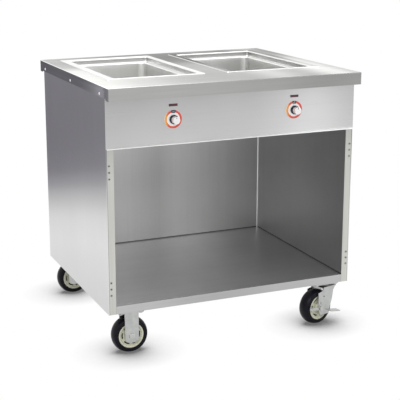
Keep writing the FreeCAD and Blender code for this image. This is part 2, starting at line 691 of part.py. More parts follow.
def make_caster_channel(name, side):
    """Steel channel inside the shelf that two casters bolt to."""
    channel = body(name + "_caster_channel")
    middle = "%d * caster_x" % side
    half = "channel_width / 2"
    inner = "(channel_width / 2 - channel_gauge)"
    top = "shelf_top - panel_gauge"
    web = "cabinet_bottom + channel_gauge"
    profile = [
        (middle + " - " + half, "cabinet_bottom"), (middle + " + " + half, "cabinet_bottom"),
        (middle + " + " + half, top), (middle + " + " + inner, top),
        (middle + " + " + inner, web), (middle + " - " + inner, web),
        (middle + " - " + inner, top), (middle + " - " + half, top),
    ]
    reach = "cabinet_face - shelf_return - fit_gap"
    between(channel, "XZ", "-(" + reach + ")", reach, draw(profile))
    for end in ("-1", "1"):
        between(channel, "XY", "cabinet_bottom", web,
                lambda target, end=end: bolt_holes(target, middle, end + " * caster_y"), cut=True)


def make_fascia():
    """Control panel with its drip lip and the holes of the dials and lamps."""
    fascia = body("fascia")
    front = "-cabinet_face - panel_gauge"
    profile = [
        ("-cabinet_face", "fascia_bottom"), ("-cabinet_face", "deck_under"),
        (front, "deck_under"), (front, "fascia_bottom + lip_thickness"),
        (front + " - lip_depth", "fascia_bottom + lip_thickness"),
        (front + " - lip_depth", "fascia_bottom"),
    ]
    between(fascia, "YZ", "-cabinet_side", "cabinet_side", draw(profile))

    def holes(target):
        for side in ("-1", "1"):
            middle = side + " * knob_offset"
            circle(target, middle, "knob_level", "neck_diameter + 2 * fit_gap")
            slot = "(lamp_width / 2 - lamp_proud)"
            tall = "(lamp_height / 2 - lamp_proud)"
            outline(target, rectangle(
                middle + " - " + slot, middle + " + " + slot,
                "knob_level + lamp_rise - " + tall, "knob_level + lamp_rise + " + tall))
        return target
    between(fascia, "XZ", front, "-cabinet_face", holes, cut=True)
    edge_y = number(front + " - lip_depth")
    rounded(fascia, "lip_thickness * 0.45", lambda edge: (
        runs_along(edge, "x") and lies_on(edge, "y", edge_y)))


def make_bay_floor():
    """Sheet that closes the cupboard's top and carries the jackets."""
    floor = body("bay_floor")
    wide, back = "(post_inner + liner_gauge)", "liner_back + liner_gauge"
    web = "-cabinet_face + panel_gauge"
    plan = [
        ("-post_inner", "-cabinet_face"), ("post_inner", "-cabinet_face"), ("post_inner", web),
        (wide, web), (wide, back), ("-" + wide, back), ("-" + wide, web), ("-post_inner", web),
    ]
    between(floor, "XY", "bay_floor", "bay_top", draw(plan))


# ---- wells --------------------------------------------------------------------------------

def well_box(grow, radius):
    """Plan of the well below its ledge, grown each way; the corners have this radius."""
    half, deep = "(pan_width / 2 + " + grow + ")", "(pan_length / 2 + " + grow + ")"
    return softened("-" + half, half, "-" + deep, deep, radius)


def make_well(name, side):
    """Drawn food well: raised rim, recess with a pan ledge, and a deep pan with draft."""
    well = body(name + "_well")
    outer, inner = ("rim_outer", "rim_inner") if side < 0 else ("rim_inner", "rim_outer")
    half, deep = "well_width / 2", "well_length / 2"
    points, rounds = softened("-" + half + " - " + outer, half + " + " + inner,
                              "-" + deep + " - rim_front", deep + " + rim_back", "rim_corner")
    between(well, "XY", "0", "rim_height", draw(points, rounds))
    wall = "(well_gauge + recess_corner)"
    points, rounds = softened("-" + half + " - well_gauge", half + " + well_gauge",
                              "-" + deep + " - well_gauge", deep + " + well_gauge", wall)
    between(well, "XY", "-recess_depth - well_gauge", "0", draw(points, rounds))
    points, rounds = well_box("well_gauge", "(pan_corner + well_gauge)")
    bottom = "-recess_depth - pan_depth - well_gauge"
    between(well, "XY", bottom, "-recess_depth", draw(points, rounds),
            draft="-pan_draft", from_top=True)
    points, rounds = softened("-" + half, half, "-" + deep, deep, "recess_corner")
    between(well, "XY", "-recess_depth", "rim_height", draw(points, rounds), cut=True)
    points, rounds = well_box("0", "pan_corner")
    between(well, "XY", "-recess_depth - pan_depth", "-recess_depth", draw(points, rounds),
            cut=True, draft="-pan_draft", from_top=True)
    foot, floor = number(bottom), number("-recess_depth - pan_depth")
    rounded(well, "pan_foot + well_gauge", lambda edge: lies_on(edge, "z", foot))
    rounded(well, "pan_foot", lambda edge: lies_on(edge, "z", floor))
    ledge, top = number("-recess_depth"), number("rim_height")
    reach_x, reach_y = number("well_width / 2"), number("well_length / 2")

    def inside(edge, spare):
        return all(abs(spot.x) < reach_x + spare and abs(spot.y) < reach_y + spare
                   for spot in samples(edge))
    rounded(well, "lip_radius", lambda edge: (
        (lies_on(edge, "z", top) and inside(edge, 0.1))
        or (lies_on(edge, "z", ledge) and inside(edge, -2))))
    place(well, "%d * well_offset" % side, "well_shift", "worktop_height")


def make_jacket(name, side):
    """Sheet tray round the wool, open to the deck; its front lets the rod's ends through."""
    jacket = body(name + "_well_jacket")
    x, y = "(wool_half_x + jacket_gauge)", "(wool_half_y + jacket_gauge)"
    between(jacket, "XY", "bay_top", "deck_under", draw(rectangle("-" + x, x, "-" + y, y)))
    between(jacket, "XY", "wool_bottom", "deck_under",
            draw(rectangle("-wool_half_x", "wool_half_x", "-wool_half_y", "wool_half_y")),
            cut=True)
    between(jacket, "XZ", "-" + y, "-wool_half_y", rod_ways, cut=True)
    place(jacket, "%d * well_offset" % side, "well_shift")


def rod_ways(target):
    """Holes for the two ends of the heating rod, seen from the front."""
    for end in ("-1", "1"):
        circle(target, end + " * (rod_runs - 1) / 2 * rod_spacing", "rod_level",
               "rod_diameter + 2 * fit_gap")
    return target


def make_wool(name, side):
    """Mineral wool tray round the well, with room for the heating rod."""
    wool = body(name + "_insulation")
    between(wool, "XY", "wool_bottom", "wool_top",
            draw(rectangle("-wool_half_x", "wool_half_x", "-wool_half_y", "wool_half_y")))
    points, rounds = well_box("well_gauge + fit_gap", "pan_corner")
    between(wool, "XY", "rod_level - rod_diameter / 2", "wool_top", draw(points, rounds), cut=True)
    between(wool, "XZ", "-wool_half_y", "-pan_length / 2", rod_ways, cut=True)
    place(wool, "%d * well_offset" % side, "well_shift")


def make_rod(name, side):
    """Heating rod bent to and fro below the well; both ends come out at the front."""
    rod = body(name + "_heating_rod")
    runs = int(number("rod_runs"))
    path = sketch(rod, "XY", "rod_level")
    front = "-wool_half_y - jacket_gauge - rod_tail"
    xs = ["(%d - (rod_runs - 1) / 2) * rod_spacing" % k for k in range(runs)]
    corners = []
    for k, x in enumerate(xs):
        ends = [(x, "-rod_reach"), (x, "rod_reach")]
        if k == 0:
            ends[0] = (x, front)
        if k == runs - 1:
            ends[0] = (x, front)
        corners.append(ends if k % 2 == 0 else ends[::-1])
    last = None
    for k, (start, stop) in enumerate(corners):
        spots = [FreeCAD.Vector(number(a), number(b), 0) for a, b in (start, stop)]
        item = path.addGeometry(Part.LineSegment(*spots))
        pin_down(path, item, 1, *start)
        pin_down(path, item, 2, *stop)
        if last is not None:
            before = FreeCAD.Vector(number(corners[k - 1][1][0]), number(corners[k - 1][1][1]), 0)
            bend = FreeCAD.Vector(0, 1 if k % 2 else -1, 0) * number("rod_spacing / 2")
            over = (before + spots[0]) / 2 + bend
            arc = path.addGeometry(Part.Arc(before, over, spots[0]))
            facing = (1, 2) if k % 2 == 0 else (2, 1)
            path.addConstraint(Sketcher.Constraint("Coincident", arc, facing[0], last, 2))
            path.addConstraint(Sketcher.Constraint("Coincident", arc, facing[1], item, 1))
            level = "rod_reach" if k % 2 else "-rod_reach"
            row = path.addConstraint(
                Sketcher.Constraint("DistanceY", -1, 1, arc, 3, number(level)))
            path.setExpression("Constraints[%d]" % row, link(level))
        last = item
    section = sketch(rod, "XZ", "wool_half_y + jacket_gauge + rod_tail")
    circle(section, xs[0], "rod_level", "rod_diameter")
    doc.recompute()
    tube = rod.newObject("PartDesign::AdditivePipe", "Rod")
    tube.Profile = section
    tube.Spine = path
    place(rod, "%d * well_offset" % side, "well_shift")


# ---- controls -----------------------------------------------------------------------------

def controls_place(owner, side, rise="0"):
    """Puts a piece on the fascia; its own Y runs to the back from the fascia's back face."""
    place(owner, "%d * knob_offset" % side, "-cabinet_face", "knob_level + " + rise)


def make_thermostat(name, side):
    """Thermostat: square bracket, round can, and the neck that holds it to the fascia."""
    unit = body(name + "_thermostat")
    can = "can_diameter / 2"
    between(unit, "XZ", "0", "panel_gauge", draw(rectangle("-" + can, can, "-" + can, can)))
    between(unit, "XZ", "panel_gauge", "can_depth", draw_circle("0", "0", "can_diameter"))
    between(unit, "XZ", "-neck_reach", "0", draw_circle("0", "0", "neck_diameter"))
    for step in ("-1", "1"):
        middle = step + " * can_diameter / 5"
        blade = rectangle(middle + " - blade_width / 2", middle + " + blade_width / 2",
                          "-blade_gauge / 2", "blade_gauge / 2")
        between(unit, "XZ", "can_depth", "can_depth + blade_reach", draw(blade))
    between(unit, "XZ", "-neck_reach", "can_depth - can_end",
            draw_circle("0", "0", "shaft_diameter + 2 * shaft_clearance"), cut=True)
    controls_place(unit, side)


def make_shaft(name, side):
    """Thermostat shaft with a flat for the knob."""
    shaft = body(name + "_shaft")
    tip = "-(dial_face + knob_reach - cap_wall - knob_gap)"
    between(shaft, "XZ", tip, "can_depth - can_end - fit_gap",
            draw_circle("0", "0", "shaft_diameter"))
    flat = rectangle("-shaft_diameter", "shaft_diameter",
                     "shaft_diameter / 2 - shaft_flat", "shaft_diameter")
    between(shaft, "XZ", tip, "-neck_reach - neck_spare", draw(flat), cut=True)
    controls_place(shaft, side)


def make_dial_plate(name, side):
    """Printed plate behind the knob."""
    plate = body(name + "_dial_plate")

    def ring(target):
        circle(target, "0", "0", "dial_diameter")
        return circle(target, "0", "0", "neck_diameter + 2 * fit_gap")
    between(plate, "XZ", "-dial_face", "-panel_gauge", ring)
    controls_place(plate, side)


def make_knob(name, side):
    """Knob: black skirt with a pointer rib, bright cap, and a bore with a flat for the shaft."""
    knob = body(name + "_knob")
    back = "-(dial_face + knob_gap)"
    step = "-(dial_face + knob_gap + skirt_depth)"
    face = "-(dial_face + knob_reach)"
    half = [
        ("0", back), ("0", face), ("cap_diameter / 2 - cap_round", face),
        ("cap_diameter / 2", face + " + cap_round"), ("cap_diameter / 2", step),
        ("skirt_diameter / 2 - skirt_round", step),
        ("skirt_diameter / 2", back + " - skirt_round"), ("skirt_diameter / 2", back),
    ]
    spun(knob, "XY", "Y", draw(half))
    hollow = draw_circle("0", "0", "neck_diameter + 2 * neck_spare")
    between(knob, "XZ", "-neck_reach - neck_spare", back, hollow, cut=True)
    bore = "shaft_diameter / 2 + shaft_clearance"
    flat = "shaft_diameter / 2 - shaft_flat + shaft_clearance"
    reach = "sqrt((" + bore + ") * (" + bore + ") - (" + flat + ") * (" + flat + "))"
    section = [(reach, flat), ("-" + reach, flat), ("-(" + bore + ")", "0"),
               ("0", "-(" + bore + ")"), (bore, "0")]
    rounds = {1: bore, 2: bore, 3: bore, 4: bore}
    between(knob, "XZ", "-(dial_face + knob_reach - cap_wall)", "-neck_reach - neck_spare",
            draw(section, rounds), cut=True)
    controls_place(knob, side)


def make_lamp(name, side):
    """Pilot lamp: bezel on the fascia, body behind it."""
    lamp = body(name + "_pilot_lamp")
    w, t = "lamp_width / 2", "lamp_height / 2"
    between(lamp, "XZ", "-panel_gauge - lamp_proud", "-panel_gauge",
            draw(rectangle("-" + w, w, "-" + t, t)))
    w = "(lamp_width / 2 - lamp_proud - lamp_gap)"
    t = "(lamp_height / 2 - lamp_proud - lamp_gap)"
    between(lamp, "XZ", "-panel_gauge", "lamp_body", draw(rectangle("-" + w, w, "-" + t, t)))
    controls_place(lamp, side, "lamp_rise")


# ---- fasteners and gland ------------------------------------------------------------------

def repeat(owner, features, steps):
    """Repeats features by rows and mirrors, each step on the outcome of the one before."""
    multi = owner.newObject("PartDesign::MultiTransform", "Repeat")
    multi.Originals = features
    made = []
    for step in steps:
        if step[0] == "row":
            item = owner.newObject("PartDesign::LinearPattern", "Row")
            item.Direction = (origin(owner, step[1] + "_Axis"), [""])
            item.setExpression("Length", link(step[2]))
            item.Occurrences = step[3]
        else:
            item = owner.newObject("PartDesign::Mirrored", "Mirror")
            item.MirrorPlane = (origin(owner, step[1] + "_Plane"), [""])
        made.append(item)
    multi.Transformations = made
    owner.Tip = multi
    return multi


def turned_about(owner, base):
    """A full turn of a sketch about its own first edge."""
    made = owner.newObject("PartDesign::Revolution", "Turn")
    made.Profile = base
    made.ReferenceAxis = (base, ["Edge1"])
    made.Angle = 360
    return made


def make_flange_screws():
    """Six truss-head screws that hold the worktop's side flanges."""
    screws = body("flange_screws")
    level = "worktop_height - screw_drop"
    tip = "cabinet_side - panel_gauge - screw_end"
    shank = level + " + screw_diameter / 2"
    dome = "(screw_head * screw_head / 4 + screw_dome * screw_dome) / (2 * screw_dome)"
    half = [
        ("width_half + screw_dome", level), (tip, level), (tip + " + screw_point", shank),
        ("width_half", shank), ("width_half", level + " + screw_head / 2"),
    ]
    base = sketch(screws, "XZ", "-screw_first")
    screw = turned_about(screws, outline(base, half, {4: dome}))
    repeat(screws, [screw], (("row", "Y", "screw_last - screw_first", 3), ("mirror", "YZ")))


def make_hinge_inserts():
    """Twelve rivet nuts for the hinges of two doors: a flange, a barrel and a crimped collar."""
    inserts = body("hinge_inserts")
    x, first = "(cabinet_side - insert_inset)", "insert_low - insert_spacing"
    web = "-cabinet_face + panel_gauge"
    steps = (
        ("-cabinet_face - insert_proud", "-cabinet_face", "insert_flange"),
        ("-cabinet_face", "-cabinet_face + insert_length", "insert_body"),
        (web, web + " + insert_collar", "insert_flange"),
    )
    made = []
    for low, high, size in steps:
        made.append(between(inserts, "XZ", low, high, draw_circle(x, first, size)))
    made.append(between(inserts, "XZ", steps[0][0], steps[1][1],
                        draw_circle(x, first, "insert_bore"), cut=True))
    repeat(inserts, made, (("row", "Z", "2 * insert_spacing", 3),
                           ("row", "Z", "insert_high - insert_low", 2), ("mirror", "YZ")))


def make_gland():
    """Cord gland in the back panel: locknut, threaded neck, hexagon and clamping dome."""
    gland = body("cord_gland")
    back, inside, tip = "cabinet_face", "cabinet_face - panel_gauge", "cabinet_face + gland_reach"
    hexes = draw(hexagon("0", "gland_level", "gland_flats"))
    thread = draw_circle("0", "gland_level", "gland_thread")
    between(gland, "XZ", inside + " - gland_nut", inside, hexes)
    between(gland, "XZ", inside + " - gland_stub", back + " + gland_nut", thread)
    between(gland, "XZ", back, back + " + gland_nut", hexes)
    between(gland, "XZ", back + " + gland_nut", tip, thread)
    end = number(tip)
    rounded(gland, "gland_round", lambda edge: lies_on(edge, "y", end))
    between(gland, "XZ", inside + " - gland_stub", tip,
            draw_circle("0", "gland_level", "gland_bore"), cut=True)


def make_caster_bolts():
    """Sixteen hexagon bolts with their nuts, four for each caster."""
    bolts = body("caster_bolts")
    x, y = "(caster_x - bolt_span_x / 2)", "(caster_y - bolt_span_y / 2)"
    plate, web = "cabinet_bottom - fork_gauge", "cabinet_bottom + channel_gauge"
    head = draw(hexagon(x, y, "bolt_flats"))
    made = [
        between(bolts, "XY", plate + " - bolt_head", plate, head),
        between(bolts, "XY", plate, web + " + bolt_end", draw_circle(x, y, "bolt_diameter")),
        between(bolts, "XY", web, web + " + bolt_nut", head),
    ]
    repeat(bolts, made, (("row", "X", "bolt_span_x", 2), ("row", "Y", "bolt_span_y", 2),
                         ("mirror", "YZ"), ("mirror", "XZ")))


# ---- casters ------------------------------------------------------------------------------
# A caster is built about its axle: the origin is the wheel's middle, X leads to the kingpin
# and Y runs along the axle. In every name the first letter is f or r for front or rear, the
# second l or r for left or right.

CASTERS = (("fl", -1, -1), ("rl", -1, 1), ("fr", 1, -1), ("rr", 1, 1))


def wheel_place(owner, side, end):
    """Puts a piece that is built about its axle under its corner of the trolley."""
    if side < 0:
        place(owner, "-caster_x", "%d * caster_y" % end, "wheel_radius")
        return
    turn = "front_swivel" if end < 0 else "rear_swivel"
    place(owner, "caster_x - swivel_trail * cos(%s * 1deg)" % turn,
          "%d * caster_y - swivel_trail * sin(%s * 1deg)" % (end, turn), "wheel_radius", turn)


def make_tyre(name, side, end):
    """Rubber tyre with a crowned tread."""
    tyre = body(name + "_tyre")
    bead, wide = "hub_diameter / 2 + fit_gap", "tyre_width / 2"
    half, fall = "(tyre_width / 2 - tyre_lean)", "((wheel_diameter - tyre_shoulder) / 2)"
    crown = "(" + half + " * " + half + " + " + fall + " * " + fall + ") / (2 * " + fall + ")"
    section = [
        (bead, "-(" + wide + " - bead_step)"), (bead + " + bead_rise", "-" + wide),
        ("tyre_shoulder / 2", "-" + half), ("tyre_shoulder / 2", half),
        (bead + " + bead_rise", wide), (bead, wide + " - bead_step"),
    ]
    spun(tyre, "XY", "Y", draw(section, {2: crown}))
    wheel_place(tyre, side, end)


def make_hub(name, side, end):
    """Hub: rim and boss joined by two webs, each with a ring of curved slots."""
    hub = body(name + "_hub")
    half, face = "hub_width / 2", "hub_web_face"
    boss, rim = "hub_boss / 2", "(hub_diameter / 2 - hub_rim)"
    long = "(fork_inside - 2 * fit_gap)"
    section = [
        ("hub_bore / 2", "-" + long), (boss, "-" + long), (boss, "-" + face), (rim, "-" + face),
        (rim, "-" + half), ("hub_diameter / 2", "-" + half), ("hub_diameter / 2", half),
        (rim, half), (rim, face), (boss, face), (boss, long), ("hub_bore / 2", long),
    ]
    spun(hub, "XY", "Y", draw(section))
    inner = "(hub_web_face - hub_web)"
    ring = rectangle("hub_boss / 2", rim, "-" + inner, inner)
    spun(hub, "XY", "Y", draw(ring), cut=True)
    low, high = "(slot_circle / 2 - slot_width / 2)", "(slot_circle / 2 + slot_width / 2)"
    across, up = "cos(slot_sweep / 2 * 1deg)", "sin(slot_sweep / 2 * 1deg)"
    slot = [
        (low + " * " + across, "-" + low + " * " + up),
        (high + " * " + across, "-" + high + " * " + up),
        (high + " * " + across, high + " * " + up), (low + " * " + across, low + " * " + up),
    ]
    cut = between(hub, "XZ", "-" + face, face, draw(slot, {1: high, 3: "~" + low}), cut=True)
    ring = hub.newObject("PartDesign::PolarPattern", "Ring")
    ring.Originals = [cut]
    ring.Axis = (origin(hub, "Y_Axis"), [""])
    ring.Angle = 360
    ring.setExpression("Occurrences", link("slot_count"))
    hub.Tip = ring
    wheel_place(hub, side, end)


def make_axle(name, side, end):
    """Axle bolt with its nut, and the sleeve between the legs that the hub turns on."""
    axle = body(name + "_axle")
    leg = "fork_half" if side < 0 else "lever_face + fit_gap"
    low, high = beside(end, "-fork_half - axle_nut - axle_end", leg)
    between(axle, "XZ", low, high, draw_circle("0", "0", "axle_diameter"))
    head = draw(hexagon("0", "0", "axle_flats"))
    low, high = beside(end, leg, leg + " + axle_head")
    between(axle, "XZ", low, high, head)
    if side > 0:
        low, high = beside(end, "fork_half", leg)
        between(axle, "XZ", low, high, draw_circle("0", "0", "lever_sleeve"))
    low, high = beside(end, "-fork_half - axle_nut", "-fork_half")
    between(axle, "XZ", low, high, head)

    def sleeve(target):
        circle(target, "0", "0", "2 * sleeve_radius")
        return circle(target, "0", "0", "axle_diameter + 2 * fit_gap")
    between(axle, "XZ", "-fork_inside", "fork_inside", sleeve)
    wheel_place(axle, side, end)


def axle_holes(fork):
    """The way of the axle bolt through both legs."""
    between(fork, "XZ", "-fork_half", "fork_half",
            draw_circle("0", "0", "axle_diameter + 2 * fit_gap"), cut=True)


def bent_inside(fork, level):
    """Rounds the inner bends between a fork's top and its legs."""
    height, reach = number(level), number("fork_inside")
    rounded(fork, "fork_gauge", lambda edge: (
        lies_on(edge, "z", height) and lies_on(edge, "y", -reach, reach)))


def make_rigid_fork(name, side, end):
    """Rigid fork: bolt plate and two straight legs, pressed from one sheet."""
    fork = body(name + "_fork")
    under = "(mount_rise - fork_gauge)"
    points, rounds = softened("-plate_length / 2", "plate_length / 2", "-fork_half", "fork_half",
                              "plate_corner")
    between(fork, "XY", under, "mount_rise", draw(points, rounds))
    half = "leg_width / 2"
    leg = [
        ("-" + half + " + leg_round", "-leg_below"), (half + " - leg_round", "-leg_below"),
        (half, "-leg_below + leg_round"), (half, under), ("-" + half, under),
        ("-" + half, "-leg_below + leg_round"),
    ]
    pad = between(fork, "XZ", "fork_inside", "fork_half",
                  draw(leg, {1: "leg_round", 5: "leg_round"}))
    mirrored(fork, [pad], "XZ")
    bent_inside(fork, under)
    axle_holes(fork)
    between(fork, "XY", under, "mount_rise", bolt_holes, cut=True)
    wheel_place(fork, side, end)


def make_swivel_fork(name, side, end):
    """Swivel fork: crown round the kingpin and two raked legs, pressed from one sheet."""
    fork = body(name + "_fork")
    under = "(crown_top - fork_gauge)"
    rear, front = "swivel_trail - crown_rear", "swivel_trail + crown_front"
    points, rounds = softened(rear, front, "-fork_half", "fork_half", "plate_corner")
    between(fork, "XY", under, "crown_top", draw(points, rounds))
    leg = [
        ("-leg_rear", "0"), ("0", "-leg_rear"), ("leg_front - leg_toe", "-leg_rear"),
        ("leg_front", "-leg_rear + leg_toe"), ("leg_knee_front", "leg_knee"),
        ("leg_shoulder", "leg_waist"), (front + " - plate_corner", under),
        (rear + " + plate_corner", under), (rear, "leg_waist + fork_gauge"),
        ("-leg_rear", "leg_waist"),
    ]
    pad = between(fork, "XZ", "fork_inside", "fork_half",
                  draw(leg, {0: "leg_rear", 2: "leg_toe"}))
    mirrored(fork, [pad], "XZ")
    bent_inside(fork, under)
    axle_holes(fork)

    def holes(target):
        circle(target, "0", "leg_hole_low", "leg_hole")
        return circle(target, "leg_hole_step", "leg_hole_high", "leg_hole")
    between(fork, "XZ", "-fork_half", "fork_half", holes, cut=True)
    between(fork, "XY", under, "crown_top",
            draw_circle("swivel_trail", "0", "kingpin_diameter + 2 * axle_clearance"), cut=True)
    wheel_place(fork, side, end)


def make_top_plate(name, side, end):
    """Bolt plate of a swivel caster with its pressed boss and riveted kingpin."""
    plate = body(name + "_top_plate")
    top, under = "mount_rise", "(mount_rise - fork_gauge)"
    points, rounds = softened("-plate_length / 2", "plate_length / 2", "-fork_half", "fork_half",
                              "plate_corner")
    between(plate, "XY", under, top, draw(points, rounds))
    between(plate, "XY", under + " - boss_depth", under, draw_circle("0", "0", "boss_diameter"))
    head = "crown_top - fork_gauge - fit_gap"
    between(plate, "XY", head, under + " - boss_depth", draw_circle("0", "0", "kingpin_diameter"))
    between(plate, "XY", head + " - kingpin_foot", head, draw_circle("0", "0", "kingpin_head"))
    foot = number(head + " - kingpin_foot")
    rounded(plate, "kingpin_foot / 2", lambda edge: lies_on(edge, "z", foot))
    between(plate, "XY", under, top, bolt_holes, cut=True)
    place(plate, "%d * caster_x" % side, "%d * caster_y" % end, "wheel_radius")


def make_bearing(name, side, end):
    """Swivel bearing, a pressed ring of balls between the bolt plate and the fork."""
    ring = body(name + "_swivel_bearing")
    low = "(crown_top + bearing_gap)"
    outer, inner = "bearing_diameter / 2", "(kingpin_diameter / 2 + fit_gap)"
    section = [
        (inner, low), (outer + " - bearing_edge", low), (outer, low + " + bearing_edge"),
        (outer, low + " + bearing_height"), (inner, low + " + bearing_height"),
    ]
    spun(ring, "XZ", "Z", draw(section))
    place(ring, "%d * caster_x" % side, "%d * caster_y" % end, "wheel_radius")


def make_brake(name, side, end):
    """Brake lever on the axle bolt: pedal towards the kingpin, release tab at the other end."""
    lever = body(name + "_brake_lever")
    x, z = "(lever_lobe * 12 / 13)", "(lever_lobe * 5 / 13)"
    plate = [
        ("-lever_rear", "tab_low"), ("-" + x, "-" + z), ("-belly_rear", "-lever_belly"),
        ("lever_front", "-lever_belly"), ("lever_front", "-pedal_level"), (x, z),
        ("0", "lever_lobe"), ("-" + x, z), ("-lever_rear", "tab_high"),
    ]
    inner = "lever_face - lever_gauge"
    low, high = beside(end, inner, "lever_face")
    between(lever, "XZ", low, high, draw(plate, {5: "lever_lobe", 6: "lever_lobe"}))
    low, high = beside(end, inner, "lever_face + pedal_width")
    root, tip = "lever_front - pedal_root", "lever_front + pedal_length"
    tread = [
        (root, "-pedal_level - lever_gauge"), (tip, "-pedal_level - lever_gauge - pedal_drop"),
        (tip, "-pedal_level - pedal_drop"), (root, "-pedal_level"),
    ]
    between(lever, "XZ", low, high, draw(tread))
    edge_x, edge_y = number(tip), number("lever_face + pedal_width")
    rounded(lever, "pedal_width / 4", lambda edge: (
        lies_on(edge, "x", edge_x) and lies_on(edge, "y", -edge_y, edge_y)))
    low, high = beside(end, inner, "lever_face + tab_width")
    tab = rectangle("-lever_rear", "-lever_rear + lever_gauge", "tab_low", "tab_high")
    between(lever, "XZ", low, high, draw(tab))
    low, high = beside(end, inner, "lever_face")
    between(lever, "XZ", low, high,
            draw_circle("0", "0", "lever_sleeve + 2 * axle_clearance"), cut=True)
    wheel_place(lever, side, end)


def build():
    """Makes every piece of the trolley."""
    make_worktop()
    make_brace()
    for name, side in SIDES:
        make_side_panel(name, side)
        make_post(name, side)
        make_caster_channel(name, side)
    make_back_panel()
    make_liners()
    make_shelf()
    make_fascia()
    make_bay_floor()
    for name, side in SIDES:
        make_well(name, side)
        make_jacket(name, side)
        make_wool(name, side)
        make_rod(name, side)
        make_thermostat(name, side)
        make_shaft(name, side)
        make_dial_plate(name, side)
        make_knob(name, side)
        make_lamp(name, side)
    make_flange_screws()
    make_hinge_inserts()
    make_gland()
    make_caster_bolts()
    for corner in CASTERS:
        make_tyre(*corner)
        make_hub(*corner)
        make_axle(*corner)
        if corner[1] < 0:
            make_rigid_fork(*corner)
        else:
            make_swivel_fork(*corner)
            make_top_plate(*corner)
            make_bearing(*corner)
            make_brake(*corner)
    doc.recompute()


def check():
    """Stops if a feature failed or a piece is empty or faulty."""
    for item in doc.Objects:
        if "Invalid" in item.State or "Error" in item.State:
            raise ValueError("%s failed: %s" % (item.Name, item.getStatusString()))
    for item in PARTS:
        if item.Shape.isNull() or not item.Shape.isValid() or not item.Shape.Solids:
            raise ValueError("%s has no sound solid" % item.Label)


build()
check()
os.makedirs("parts", exist_ok=True)
for item in PARTS:
    item.Shape.exportStep("parts/%s.step" % item.Label)
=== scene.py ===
"""Heated serving trolley: surfaces, finishes, light and camera."""
import json
import math

import bmesh
import bpy
import numpy as np
from mathutils import Matrix, Vector

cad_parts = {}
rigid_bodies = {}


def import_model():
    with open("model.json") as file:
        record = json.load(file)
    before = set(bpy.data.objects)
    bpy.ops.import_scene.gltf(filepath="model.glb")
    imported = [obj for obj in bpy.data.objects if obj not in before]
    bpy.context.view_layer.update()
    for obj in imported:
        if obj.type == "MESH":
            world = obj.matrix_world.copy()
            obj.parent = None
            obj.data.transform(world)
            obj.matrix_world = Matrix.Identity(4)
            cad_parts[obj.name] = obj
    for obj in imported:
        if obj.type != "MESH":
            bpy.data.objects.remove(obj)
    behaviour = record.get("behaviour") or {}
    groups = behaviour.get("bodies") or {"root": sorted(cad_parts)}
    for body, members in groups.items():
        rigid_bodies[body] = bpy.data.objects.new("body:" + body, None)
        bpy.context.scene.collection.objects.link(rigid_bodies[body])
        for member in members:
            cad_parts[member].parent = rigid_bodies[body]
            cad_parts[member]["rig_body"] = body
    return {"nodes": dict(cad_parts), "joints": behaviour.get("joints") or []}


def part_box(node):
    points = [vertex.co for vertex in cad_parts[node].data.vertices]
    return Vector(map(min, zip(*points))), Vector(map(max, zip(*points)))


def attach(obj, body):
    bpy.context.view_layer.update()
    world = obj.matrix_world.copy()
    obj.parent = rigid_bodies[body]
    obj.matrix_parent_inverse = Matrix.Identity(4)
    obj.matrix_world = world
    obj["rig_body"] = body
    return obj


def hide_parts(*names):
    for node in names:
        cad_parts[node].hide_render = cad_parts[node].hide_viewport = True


bl_info = {
    "name": "Heated serving trolley",
    "version": (1, 0, 0),
    "blender": (4, 5, 0),
    "location": "View3D > Sidebar > Trolley",
    "description": "Builds the surfaces and finishes of a stainless serving trolley with two wells",
    "category": "Add Mesh",
}

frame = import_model()
NODES = frame["nodes"]
JOINTS = {joint["name"]: joint for joint in frame["joints"]}
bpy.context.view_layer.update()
MM = 0.001
SIDES = ("left", "right")
CORNERS = ("fl", "rl", "fr", "rr")


# ---- sizes and colours ----

def length(name, text, value):
    """A length in metres for the sidebar."""
    return bpy.props.FloatProperty(name=name, description=text, default=value, min=0.0,
                                   unit="LENGTH", precision=4)


def colour(name, text, value):
    """A linear colour for the sidebar."""
    return bpy.props.FloatVectorProperty(name=name, description=text, default=value, size=3,
                                         min=0.0, max=1.0, subtype="COLOR")


def share(name, text, value):
    """A plain factor from 0 to 1 for the sidebar."""
    return bpy.props.FloatProperty(name=name, description=text, default=value, min=0.0,
                                   max=1.0, subtype="FACTOR")


class TrolleySteel(bpy.types.PropertyGroup):
    """Colours of the sheet metal."""

    worktop: colour("Worktop", "Brightest tone of the worktop and wells", (1.0, 1.0, 0.985))
    panel: colour("Panels", "Brightest tone of the outer panels", (1.0, 1.0, 1.0))
    # painted reflection: a cool cast for the side panels where their painted tone is dark, and the
    # flanges' tint
    side: colour("Side panels", "Cast of the side panels where they are dark",
                 (0.955, 0.94, 1.0))
    post: colour("Posts", "Brightest tone of the front posts", (1.0, 1.0, 0.94))
    liner: colour("Liners", "Brightest tone inside the cupboard", (1.0, 1.0, 1.0))
    hidden: colour("Hidden sheet", "Mill finish steel out of sight", (0.45, 0.45, 0.45))
    zinc: colour("Zinc", "Zinc plate of the casters and fasteners", (0.51, 0.52, 0.51))
    grain: share("Grain", "How strongly the brushing shows", 0.06)


class TrolleyPlastics(bpy.types.PropertyGroup):
    """Colours of rubber, plastic and print."""

    tyre: colour("Tyre", "Solid rubber tyre", (0.0045, 0.004, 0.0075))
    hub: colour("Hub", "Moulded hub", (0.62, 0.62, 0.49))
    # painted shade: the dark the hub's slots take at their depth
    slot: colour("Hub slots", "Depth of the hub's slots", (0.030, 0.029, 0.016))
    ring: colour("Dial ring", "Printed ring round the dial", (0.70, 0.095, 0.07))
    warm: colour("Dial ring, warm side", "Printed ring beside the low settings",
                 (0.90, 0.42, 0.04))
    skirt: colour("Knob skirt", "Black skirt of the knob", (0.006, 0.007, 0.026))
    lens: colour("Lamp lens", "Pilot lamp lens", (0.13, 0.03, 0.045))


